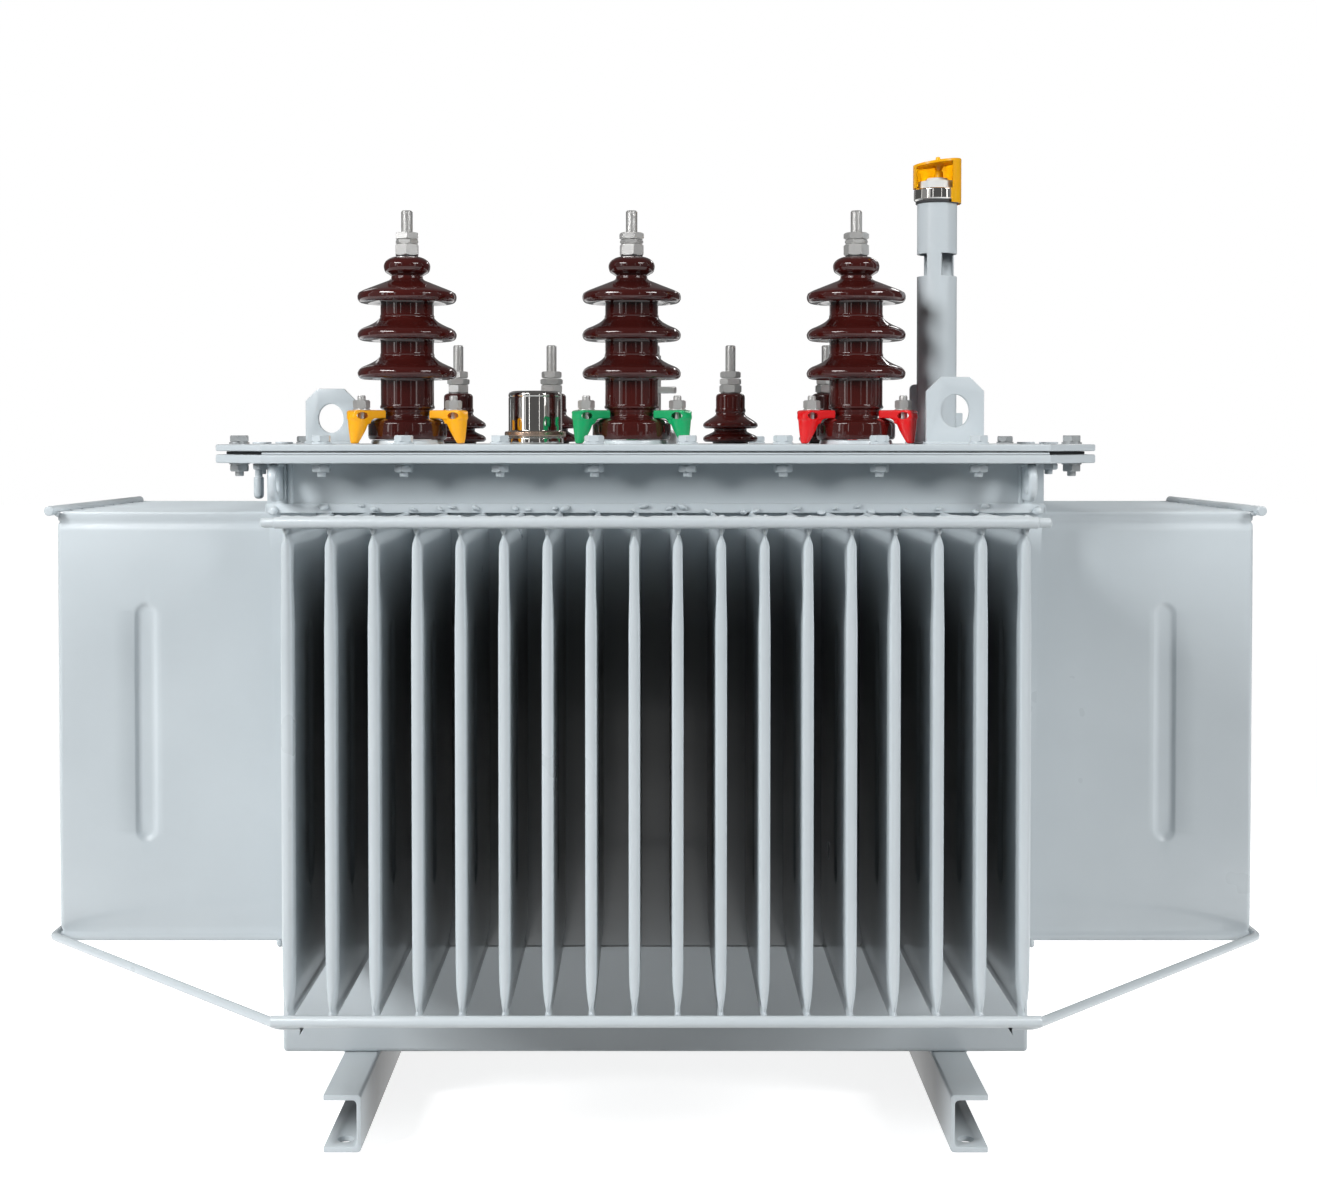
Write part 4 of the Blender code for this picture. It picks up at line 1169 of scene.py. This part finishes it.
# each point: radius, height, rounding; the two lower sheds are alike
shedOutline = [
    (0.0368, 0.1516, 0.0040), (0.0470, 0.1458, 0.0050), (0.0558, 0.1425, 0.0030), (0.0602, 0.1385, 0.0028),
    (0.0611, 0.1345, 0.0025), (0.0600, 0.1300, 0.0025), (0.0560, 0.1274, 0.0020), (0.0480, 0.1284, 0.0020),
    (0.0345, 0.1312, 0.0030), (0.0327, 0.1262, 0.0020),
]
shedPitch = 0.0475
hvOutline = [
    (0.0, 0.2312, 0.0), (0.0150, 0.2312, 0.0015), (0.0220, 0.2292, 0.0035), (0.0286, 0.2235, 0.0040),
    (0.0286, 0.2165, 0.0030), (0.0268, 0.2120, 0.0015), (0.0212, 0.2088, 0.0022), (0.0188, 0.2072, 0.0010),
    (0.0195, 0.2058, 0.0008), (0.0197, 0.2040, 0.0008), (0.0215, 0.2022, 0.0020), (0.0560, 0.1885, 0.0040),
    (0.0600, 0.1858, 0.0030), (0.0611, 0.1815, 0.0025), (0.0602, 0.1765, 0.0025), (0.0560, 0.1736, 0.0022),
    (0.0480, 0.1752, 0.0020), (0.0345, 0.1790, 0.0030),
    (0.0327, 0.1740, 0.0020), (0.0327, 0.1590, 0.0015), (0.0336, 0.1577, 0.0008), (0.0332, 0.1560, 0.0010),
    *shedOutline,
    (0.0327, 0.1115, 0.0015), (0.0336, 0.1102, 0.0008), (0.0332, 0.1085, 0.0010),
    *[(radius, height - shedPitch, rounding) for radius, height, rounding in shedOutline],
    (0.0327, 0.0475, 0.0015), (0.0338, 0.0462, 0.0008), (0.0334, 0.0440, 0.0008),
    (0.0300, 0.0420, 0.0012), (0.0306, 0.0395, 0.0008), (0.0296, 0.0370, 0.0008), (0.0302, 0.0342, 0.0010),
    (0.0345, 0.0318, 0.0015), (0.0455, 0.0296, 0.0045), (0.0484, 0.0245, 0.0035), (0.0484, 0.0085, 0.0020),
    (0.0465, 0.0056, 0.0008), (0.0, 0.0056, 0.0),
]
lvOutline = [
    (0.0, 0.0680, 0.0), (0.0145, 0.0680, 0.0010), (0.0185, 0.0665, 0.0020), (0.0196, 0.0635, 0.0015),
    (0.0196, 0.0475, 0.0010), (0.0205, 0.0460, 0.0006), (0.0205, 0.0432, 0.0008), (0.0195, 0.0415, 0.0010),
    (0.0200, 0.0385, 0.0020), (0.0255, 0.0350, 0.0035), (0.0335, 0.0300, 0.0030), (0.0370, 0.0268, 0.0028),
    (0.0370, 0.0235, 0.0025), (0.0335, 0.0205, 0.0018), (0.0235, 0.0215, 0.0020), (0.0218, 0.0190, 0.0015),
    (0.0222, 0.0165, 0.0020), (0.0280, 0.0135, 0.0030), (0.0345, 0.0110, 0.0025), (0.0370, 0.0080, 0.0020),
    (0.0370, 0.0050, 0.0018), (0.0345, 0.0026, 0.0012), (0.0240, 0.0024, 0.0008), (0.0240, 0.0004, 0.0),
    (0.0, 0.0004, 0.0),
]


bushings = {"hv": ("hv_left", "hv_middle", "hv_right"), "lv": ("lv_neutral", "lv_a", "lv_b", "lv_c")}


def makeInsulators():
    made = 0
    for kind, outline in (("hv", hvOutline), ("lv", lvOutline)):
        master = turnPiece(kind + "_master", outline, (0, 0, 0), 72)
        for node in bushings[kind]:
            piece = copyPiece(master, onCover(node + "_insulator"))
            handOver(piece, node + "_porcelain", brownGlaze, "porcelain", node + "_insulator")
            made += 1
        bpy.data.objects.remove(master)
    print("insulators made:", made)


makeInsulators()


# Terminals: studs with their nuts

terminalShape = {
    # low and high of each nut above the cover, its width across flats and its turn
    "hv": {
        "stud": 0.0071, "seat": 0.2312, "top": 0.2880,
        "nuts": ((0.2325, 0.2465, 0.0272, 3), (0.2469, 0.2524, 0.0250, 22), (0.2527, 0.2607, 0.0272, 8)),
        "seatRing": (0.0135, 0.0013),
    },
    "lv": {
        "stud": 0.0068, "seat": 0.0680, "top": 0.1328,
        "nuts": ((0.0688, 0.0794, 0.0262, 5), (0.0798, 0.0877, 0.0262, 30), (0.0886, 0.0975, 0.0240, 14)),
        "seatRing": (0.0130, 0.0008),
    },
}


def makeStud(name, radius, low, high, centre):
    # a stud with a chamfered end; its fine thread is in the finish
    return turnPiece(
        name,
        [
            (0.0, high, 0.0), (radius * 0.82, high, 0.0), (radius, high - 0.0016, 0.0003),
            (radius, low, 0.0), (0.0, low, 0.0),
        ],
        centre, 32,
    )


def makeTerminals():
    for kind, nodes in bushings.items():
        size = terminalShape[kind]
        for i, node in enumerate(nodes):
            centre = onCover(node + "_terminal")
            threadLow = size["nuts"][-1][1] - 0.004
            parts = []
            stud = makeStud("stud", size["stud"], threadLow, size["top"], centre)
            handOver(stud, node + "_thread", threadedPlate, "zinc")
            for low, high, across, turn in size["nuts"]:
                nut = addHex("nut", across, low, high, 0.0016)
                parts.append(copyPiece(nut, centre, turn + 7 * i))
                bpy.data.objects.remove(nut)
            terminal = joinPieces(parts, node + "_nuts")
            smooth(terminal, 32.0)
            handOver(terminal, node + "_nuts", zincPlate, "zinc", node + "_terminal")
            ringRadius, ringHeight = size["seatRing"]
            low, high = size["seat"] + 0.0001, size["seat"] + ringHeight
            ring = addDisc("ring", ringRadius, low, high, 0.0, 0.0003, centre, 40)
            handOver(ring, node + "_seat_ring", blackRubber, "rubber")
    print("terminals made")


makeTerminals()


# Claw clamps, cast, each held by a stud and a nut

clawShape = {
    "half": 0.0115, "tip": 0.0345, "fingerLow": 0.0305, "fingerHigh": 0.0416, "back": 0.0818,
    "corner": 0.0085, "drop": 0.0078,
    # the leg's stations: height, distance from the bushing's axis, half length and half width
    "leg": (
        (0.0285, 0.0688, 0.0127, 0.0122), (0.0235, 0.0692, 0.0120, 0.0116), (0.0170, 0.0703, 0.0103, 0.0104),
        (0.0090, 0.0722, 0.0076, 0.0080), (0.0028, 0.0738, 0.0054, 0.0058), (0.0006, 0.0742, 0.0040, 0.0044),
    ),
    "crook": (0.0494, 0.0248, 0.0062),
    "mouth": (0.0690, 0.0346, 0.0076, 0.0043),
    "voxel": 0.0011, "softening": 7,
    "studAt": 0.0642, "studRadius": 0.0050, "studTop": 0.0592, "nutAcross": 0.0180, "nutHigh": 0.0104,
    "washer": 0.0104,
    "turns": {"yellow": (-22, 98, 218), "green": (-29, 91, 211), "red": (-33, 87, 207)},
}


def addLeg():
    # an oval bar that narrows towards the cover
    stations = clawShape["leg"]
    height, away, long, wide = stations[0]
    leg = addRound("leg", 1.0, (0, 0, 0), (0, 0, 0.004), 28)
    leg.scale = (long, wide, 1.0)
    leg.location = (away, 0.0, height)
    settle(leg)
    openEdit(leg)
    pick(leg, "FACE", lambda place, normal: normal.z < -0.9)
    for before, after in zip(stations, stations[1:]):
        bpy.ops.mesh.extrude_region_move(
            TRANSFORM_OT_translate={"value": (after[1] - before[1], 0.0, after[0] - before[0])}
        )
        bpy.ops.transform.resize(
            value=(after[2] / before[2], after[3] / before[3], 1.0), center_override=(after[1], 0.0, after[0])
        )
    closeEdit()
    return leg


def makeClawMaster():
    # a cast claw along +X: a finger, a leg, a crook between them, and a mouth under the top plate
    size = clawShape
    half, low, high = size["half"], size["fingerLow"], size["fingerHigh"]
    top = addBox("claw", (size["tip"], -half, low), (size["back"], half, high))
    roundEdges(
        top,
        lambda place, run: abs(run.y) > 0.9 and place.x > size["back"] - 0.001 and place.z > high - 0.001,
        size["drop"], 5,
    )
    roundEdges(
        top, lambda place, run: abs(run.z) > 0.5 and place.x > size["back"] - 0.001, size["corner"], 5
    )
    openEdit(top)
    pick(top, "FACE", lambda place, normal: normal.x < -0.9)
    bpy.ops.transform.resize(value=(1.0, 0.70, 0.92), center_override=(0.0, 0.0, high))
    closeEdit()
    away, rise, bend = size["crook"]
    crook = addBox("crook", (away, -half * 0.72, rise), (away + 0.014, half * 0.72, low + 0.003))
    bite = addRound("bite", bend, (away, -0.02, rise), (away, 0.02, rise), 40)
    carve(crook, bite)
    claw = joinPieces([top, addLeg(), crook], "claw")
    useModifier(claw, "REMESH", mode="VOXEL", voxel_size=size["voxel"])
    useModifier(claw, "SMOOTH", factor=0.5, iterations=size["softening"])
    away, rise, long, tall = size["mouth"]
    mouth = addRound("mouth", 1.0, (0, -0.03, 0), (0, 0.03, 0), 32)
    mouth.scale = (long, 1.0, tall)
    mouth.location = (away, 0.0, rise)
    settle(mouth)
    carve(claw, mouth)
    smooth(claw, 45.0)
    return claw


def makeClawStudMaster():
    size = clawShape
    top = size["fingerHigh"] - 0.0003
    washer = addDisc("washer", size["washer"], top, top + 0.0016, 0.0, 0.0004)
    nut = addHex("nut", size["nutAcross"], top + 0.0018, top + 0.0018 + size["nutHigh"], 0.0016)
    stud = makeStud("stud", size["studRadius"], top - 0.018, size["studTop"], (0, 0, 0))
    joined = joinPieces([nut, washer, stud], "claw_stud")
    placePiece(joined, (size["studAt"], 0.0, 0.0))
    smooth(joined, 32.0)
    return joined


def makeClaws():
    claw, stud = makeClawMaster(), makeClawStudMaster()
    for bushing, (colour, turns) in zip(bushings["hv"], clawShape["turns"].items()):
        centre = onCover(bushing + "_insulator")
        for i, turn in enumerate(turns):
            node = f"{bushing}_claw_{i + 1}"
            casting = copyPiece(claw, centre, turn)
            handOver(casting, node + "_casting", clawPaints[colour], "claw_" + colour, node)
            handOver(copyPiece(stud, centre, turn), node + "_stud", zincPlate, "zinc")
    bpy.data.objects.remove(claw)
    bpy.data.objects.remove(stud)
    print("claws made")


makeClaws()


# Relief cap and tap switch

reliefOutline = [
    (0.0, 0.0668, 0.0), (0.0285, 0.0665, 0.0020), (0.0338, 0.0640, 0.0022), (0.0338, 0.0600, 0.0008),
    (0.0334, 0.0590, 0.0004), (0.0337, 0.0580, 0.0004), (0.0337, 0.0165, 0.0008), (0.0374, 0.0150, 0.0010),
    (0.0376, 0.0100, 0.0012), (0.0335, 0.0092, 0.0005), (0.0330, 0.0080, 0.0004), (0.0352, 0.0076, 0.0010),
    (0.0356, 0.0004, 0.0005), (0.0, 0.0004, 0.0),
]
switchOutline = [
    (0.0, 0.1200, 0.0), (0.0062, 0.1198, 0.0010), (0.0070, 0.1185, 0.0010), (0.0070, 0.0200, 0.0010),
    (0.0150, 0.0195, 0.0015), (0.0225, 0.0185, 0.0020), (0.0280, 0.0140, 0.0025), (0.0280, 0.0004, 0.0005),
    (0.0, 0.0004, 0.0),
]


switchShape = {
    "handleHalf": 0.008, "handleLow": 0.068, "handleHigh": 0.077, "handleCorner": 0.0065,
    "handleEdge": 0.0015,
    "tip": (0.0052, 0.1190, 0.1326),
}


def makeReliefCap():
    centre = onCover("relief_cap")
    cap = turnPiece("relief_shell", reliefOutline, centre, 96)
    handOver(cap, "relief_shell", brightPlate, "chrome", "relief_cap")
    rim = turnPiece(
        "relief_rim",
        [
            (0.0373, 0.0158, 0.0), (0.0384, 0.0150, 0.0005), (0.0387, 0.0104, 0.0008), (0.0373, 0.0096, 0.0),
            (0.0373, 0.01575, 0.0),
        ],
        centre, 96,
    )
    handOver(rim, "relief_rim", bronzePlate, "chrome")


def makeTapSwitch():
    size = switchShape
    low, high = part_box("tap_switch")
    centre = onCover("tap_switch")
    knob = turnPiece("tap_switch_body", switchOutline, centre, 48)
    reach = Vector(((high.x - low.x) / 2, size["handleHalf"], 0.0))
    handle = addBox(
        "handle", centre - reach + Vector((0.0, 0.0, size["handleLow"])),
        centre + reach + Vector((0.0, 0.0, size["handleHigh"])),
    )
    roundEdges(handle, lambda place, run: abs(run.z) > 0.9, size["handleCorner"], 5)
    softEdges(handle, size["handleEdge"], 2)
    tip = makeStud("tip", *size["tip"], centre)
    knob = joinPieces([knob, handle, tip], "tap_switch_body")
    smooth(knob, 35.0)
    handOver(knob, "tap_switch_body", zincPlate, "zinc", "tap_switch")


makeReliefCap()
makeTapSwitch()
print("relief cap and tap switch made")


# Filler pipe with its cap

fillerShape = {
    "radius": 0.0248, "wall": 0.003, "height": 0.3008, "windowLow": 0.210, "windowHigh": 0.238,
    "windowDepth": 0.0106, "windowTurns": (177.0, -32.0), "ribReach": 0.009, "ribThick": 0.006,
    "ribHeight": 0.075, "bracket": (25.0, 0.0130, 0.0392), "plugRadius": 0.0234, "plugTop": 0.3330,
    "ringRadius": 0.0290, "ringLow": 0.3040, "ringHigh": 0.3190, "hoodOuter": 0.0300, "hoodWall": 0.0026,
    "hoodTop": 0.3598, "hoodSlant": 7.6, "legWidth": 0.016, "openDepth": 0.004, "topThick": 0.0030,
    "planeDrop": 0.0066,
}


def makeFillerPipe(centre):
    size = fillerShape
    outline = [
        (size["radius"], size["height"], 0.0006), (size["radius"], 0.0004, 0.0),
        (size["radius"] - size["wall"], 0.0004, 0.0), (size["radius"] - size["wall"], size["height"], 0.0006),
        (size["radius"], size["height"] - 0.00005, 0.0),
    ]
    pipe = turnPiece("filler_tube", outline, centre, 72)
    reach = 2 * size["radius"]
    for turn in size["windowTurns"]:
        window = addBox(
            "window", (size["radius"] - size["windowDepth"], -reach, size["windowLow"]),
            (reach, reach, size["windowHigh"]),
        )
        placePiece(window, centre, turn)
        carve(pipe, window)
    softEdges(pipe, 0.0004, 1, 60.0)
    rib = addBox(
        "rib", centre + Vector((-size["radius"] - size["ribReach"], -size["ribThick"] / 2, 0.0005)),
        centre + Vector((-size["radius"] + 0.002, size["ribThick"] / 2, size["ribHeight"])),
    )
    roundEdges(
        rib, lambda place, run: abs(run.y) > 0.9 and place.z > coverTop + 0.05 and place.x < centre.x - 0.03,
        0.006, 4,
    )
    softEdges(rib, 0.0008, 2)
    turn, reach, height = size["bracket"]
    bracket = addBox(
        "bracket", (size["radius"] - 0.002, -size["ribThick"] / 2, 0.0005),
        (size["radius"] + reach, size["ribThick"] / 2, height),
    )
    softEdges(bracket, 0.0008, 2)
    placePiece(bracket, centre, turn)
    pipe = joinPieces([pipe, rib, bracket], "filler_tube")
    smooth(pipe, 35.0)
    handOver(pipe, "filler_tube", tankPaint, "paint", "filler_pipe")
    ring = size["radius"] + 0.0012
    circle = [
        centre + Vector((ring * math.cos(whole * i / 60), ring * math.sin(whole * i / 60), 0.0014))
        for i in range(60)
    ]
    radii = [random.uniform(0.8, 1.15) for _ in circle]
    weld = barAlong("filler_weld", circle, 0.0028, radii, sides=1, closed=True)
    handOver(weld, "filler_weld", tankPaint, "paint")


def makeFillerCap(centre):
    size = fillerShape
    low, high = size["height"] + 0.0002, size["ringLow"] - 0.0001
    seal = addDisc("filler_seal", size["radius"] + 0.0020, low, high, 0.0004, 0.0004, centre, 60)
    handOver(seal, "filler_seal", blackRubber, "rubber")
    wide, low, high = size["ringRadius"], size["ringLow"], size["ringHigh"]
    ring = turnPiece(
        "filler_band",
        [
            (0.0, high, 0.0), (wide - 0.0012, high, 0.0005), (wide, high - 0.0012, 0.0006),
            (wide, low + 0.0018, 0.0008), (wide - 0.0025, low, 0.0006), (0.0, low, 0.0),
        ],
        centre, 96,
    )
    handOver(ring, "filler_band", brightPlate, "chrome", "filler_ring")
    wide, low, high = size["plugRadius"], size["ringHigh"] + 0.0003, size["plugTop"]
    plug = turnPiece(
        "filler_plug",
        [
            (0.0, high, 0.0), (0.0130, high, 0.0008), (0.0140, high - 0.0035, 0.0006),
            (wide, high - 0.0045, 0.0010), (wide, low, 0.0), (0.0, low, 0.0),
        ],
        centre, 64,
    )
    handOver(plug, "filler_plug", palePlastic, "chrome")


def makeHood(centre):
    # an amber cap: slanted top, a leg down over the ring, open at the front
    size = fillerShape
    outer, wall = size["hoodOuter"], size["hoodWall"]
    top, low = size["hoodTop"], size["ringLow"] - 0.0030
    hood = turnPiece(
        "hood",
        [
            (0.0, top, 0.0), (outer - 0.002, top, 0.0015), (outer, top - 0.003, 0.0012), (outer, low, 0.0006),
            (0.0, low, 0.0),
        ],
        centre, 72,
    )
    reach = 0.06
    slant = centre + Vector((0.0, 0.0, top - size["planeDrop"]))

    def belowTop(cutter):
        # keeps what lies under the slanted top's inner face
        under = addBox("under", (-reach, -reach, -0.08), (reach, reach, 0.0))
        placePiece(under, slant - Vector((0.0, 0.0, size["topThick"])), lean=-size["hoodSlant"])
        carve(cutter, under, "INTERSECT")
        return cutter

    wedge = addBox("wedge", (-reach, -reach, 0.0), (reach, reach, 0.03))
    placePiece(wedge, slant, lean=-size["hoodSlant"])
    above = centre + Vector((0.0, 0.0, top + 0.01))
    hollow = belowTop(addRound("hollow", outer - wall, centre + Vector((0.0, 0.0, low - 0.01)), above, 72))
    ringSpace = addRound(
        "ringSpace", outer - wall * 0.4, centre + Vector((0.0, 0.0, low - 0.02)),
        centre + Vector((0.0, 0.0, size["ringHigh"] + 0.0006)), 72,
    )
    # everything below the skirt, but for the leg
    skirt = addBox(
        "skirt", centre + Vector((-reach, -reach, low - 0.02)),
        centre + Vector((outer - size["legWidth"], reach, size["ringHigh"] + 0.0012)),
    )
    # the open front
    window = belowTop(addBox(
        "window", centre + Vector((-outer + wall, -reach, size["ringHigh"])),
        centre + Vector((outer - size["legWidth"] + 0.0018, -size["openDepth"], top)),
    ))
    for cutter in (wedge, hollow, ringSpace, skirt, window):
        carve(hood, cutter)
    softEdges(hood, 0.0005, 1, 50.0)
    knob = turnPiece(
        "knob",
        [(0.0, 0.0002, 0.0), (0.0028, 0.0002, 0.0008), (0.0032, -0.010, 0.0), (0.0, -0.010, 0.0)],
        centre + Vector((0.001, 0.0, top)), 24,
    )
    post = turnPiece(
        "post",
        [
            (0.0, size["hoodTop"] - 0.0096, 0.0), (0.0090, size["hoodTop"] - 0.0096, 0.0004),
            (0.0048, size["hoodTop"] - 0.0130, 0.0020), (0.0034, 0.3425, 0.0008), (0.0052, 0.3415, 0.0006),
            (0.0058, size["plugTop"] + 0.0003, 0.0), (0.0, size["plugTop"] + 0.0003, 0.0),
        ],
        centre + Vector((0.002, 0.0, 0.0)), 32,
    )
    hood = joinPieces([hood, knob, post], "filler_hood_shell")
    smooth(hood, 35.0)
    handOver(hood, "filler_hood_shell", amberPlastic, "amber", "filler_hood")


def makeFiller():
    centre = onCover("filler_ring")
    makeFillerPipe(centre)
    makeFillerCap(centre)
    makeHood(centre)
    print("filler pipe and cap made")


makeFiller()


# CAD nodes that stay get their finish

for nodeName in ("tank_body", "tank_collar"):
    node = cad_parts[nodeName]
    node.data.materials.clear()
    node.data.materials.append(tankPaint)


# Studio

studio = {
    "floorColour": (0.62, 0.62, 0.62), "floorLift": 0.84, "floorNear": 1.0, "floorFar": 2.4,
    "world": 0.03, "background": 1.0,
    # name, place, width, height, power; each faces the tank's middle
    "lamps": (
        ("keyLamp", (-3.0, -2.4, 2.2), 0.8, 1.8, 182.0), ("fillLamp", (3.2, -2.2, 2.0), 0.7, 1.8, 120.0),
        ("topLamp", (0.0, 0.3, 3.4), 1.6, 1.0, 22.0), ("backLamp", (0.8, 3.2, 2.0), 0.9, 2.0, 110.0),
    ),
    "aim": (0.0, 0.0, 0.5),
    # boards that only reflections see: middle azimuth, half angle, distance, low, high and tone
    "boards": (
        (0.0, 40.0, 4.6, 0.02, 4.6, 0.10), (-66.0, 22.0, 4.6, 0.02, 4.6, 0.30),
        (-123.0, 31.0, 4.6, 0.02, 4.6, 0.10), (66.0, 22.0, 4.6, 0.02, 4.6, 0.20),
        (123.0, 31.0, 4.6, 0.02, 4.6, 0.10), (180.0, 22.0, 4.6, 0.02, 4.6, 0.14),
        (-48.0, 18.0, 3.4, 2.90, 3.35, 24.0), (50.0, 14.0, 3.4, 2.90, 3.30, 20.0),
        (-52.0, 2.6, 4.2, 0.7, 3.2, 3.2), (44.0, 1.8, 4.2, 0.7, 3.2, 2.6),
        (-24.0, 0.7, 4.2, 0.7, 3.2, 3.5), (18.0, 0.5, 4.2, 0.7, 3.2, 3.0), (150.0, 10.0, 3.4, 2.4, 2.6, 6.0),
    ),
    "ceiling": (5.4, 4.6, 0.12),
}


def seenWhite(tree):
    # 1 where the camera, a gloss or a clear piece looks at the background
    paths = addNode(tree, "LightPath").outputs
    seen = addMath(tree, "ADD", paths["Is Camera Ray"], paths["Is Glossy Ray"])
    seen = addMath(tree, "ADD", seen, paths["Is Transmission Ray"])
    seen.node.use_clamp = True
    return seen


def makeFloor():
    bpy.ops.mesh.primitive_plane_add(size=40.0, location=(0.0, 0.0, -0.0002))
    floor = bpy.context.object
    floor.name = "studio_floor"
    settle(floor)
    finish, tree, shader = newFinish(
        "floorPaper", Roughness=0.85, Specular_IOR_Level=0.1, Emission_Color=(1.0, 1.0, 1.0, 1.0)
    )
    # away from the tank the paper turns into the white background
    reach = tree.nodes.new("ShaderNodeVectorMath")
    reach.operation = "LENGTH"
    tree.links.new(ownPlace(tree), reach.inputs[0])
    away = addRange(
        tree, reach.outputs["Value"], studio["floorNear"], studio["floorFar"], eased=True
    )
    tone = blendColours(tree, away, studio["floorColour"], (0.0, 0.0, 0.0))
    tree.links.new(tone, shader.inputs["Base Color"])
    level = addRange(tree, away, toLow=studio["floorLift"], toHigh=studio["background"])
    lift = addMath(tree, "MULTIPLY", seenWhite(tree), level)
    tree.links.new(lift, shader.inputs["Emission Strength"])
    floor.data.materials.append(finish)


def makeWorld():
    world = bpy.data.worlds.new("studioWorld")
    bpy.context.scene.world = world
    world.use_nodes = True
    tree = world.node_tree
    backdrop = tree.nodes["Background"]
    backdrop.inputs["Color"].default_value = (1.0, 1.0, 1.0, 1.0)
    strength = addRange(tree, seenWhite(tree), toLow=studio["world"], toHigh=studio["background"])
    tree.links.new(strength, backdrop.inputs["Strength"])


def makeLamps():
    for name, place, wide, high, power in studio["lamps"]:
        light = bpy.data.lights.new(name, "AREA")
        light.shape = "RECTANGLE"
        light.size = wide
        light.size_y = high
        light.energy = power
        lamp = bpy.data.objects.new(name, light)
        lamp.location = place
        # the strips among the boards are its reflection
        lamp.visible_glossy = False
        lamp.rotation_euler = (Vector(studio["aim"]) - Vector(place)).to_track_quat("-Z", "Y").to_euler()
        bpy.context.collection.objects.link(lamp)


def boardFinish(tone):
    finish, _, _ = newFinish(
        "greyBoard", Roughness=0.9, Specular_IOR_Level=0.0, Base_Color=(0.0, 0.0, 0.0, 1.0),
        Emission_Color=(1.0, 1.0, 1.0, 1.0), Emission_Strength=tone,
    )
    return finish


def makeBoards():
    # grey boards and bright strips around and above, seen by glossy rays alone
    boards = []
    for turn, half, far, low, high, tone in studio["boards"]:
        wide = far * math.tan(math.radians(half))
        board = addBox("board", (-wide, -far - 0.01, low), (wide, -far, high))
        placePiece(board, turn=turn)
        board.data.materials.append(boardFinish(tone))
        boards.append(board)
    wide, height, tone = studio["ceiling"]
    ceiling = addBox("board", (-wide, -wide, height), (wide, wide, height + 0.01))
    ceiling.data.materials.append(boardFinish(tone))
    boards.append(ceiling)
    for i, board in enumerate(boards):
        board.name = f"grey_board_{i + 1}"
        board.visible_camera = False
        board.visible_diffuse = False
        board.visible_shadow = False
        board.visible_transmission = False


# The photograph's view, in its own pixels

view = {
    "width": 1317.0, "height": 1194.0, "focal": 1841.0, "axisX": 651.8, "axisY": 481.8,
    "place": (-0.0044, -2.398, 0.7933), "tilt": 1.3, "sensor": 36.0,
}


def makeCamera():
    data = bpy.data.cameras.new("photoCamera")
    data.sensor_width = view["sensor"]
    data.lens = view["focal"] * view["sensor"] / view["width"]
    data.shift_x = (view["width"] / 2 - view["axisX"]) / view["width"]
    data.shift_y = (view["axisY"] - view["height"] / 2) / view["width"]
    camera = bpy.data.objects.new("photoCamera", data)
    camera.location = view["place"]
    camera.rotation_euler = (math.radians(90.0 - view["tilt"]), 0.0, 0.0)
    bpy.context.collection.objects.link(camera)
    bpy.context.scene.camera = camera


makeFloor()
makeWorld()
makeLamps()
makeBoards()
makeCamera()
bpy.context.scene.view_settings.view_transform = "Standard"
print("studio ready")
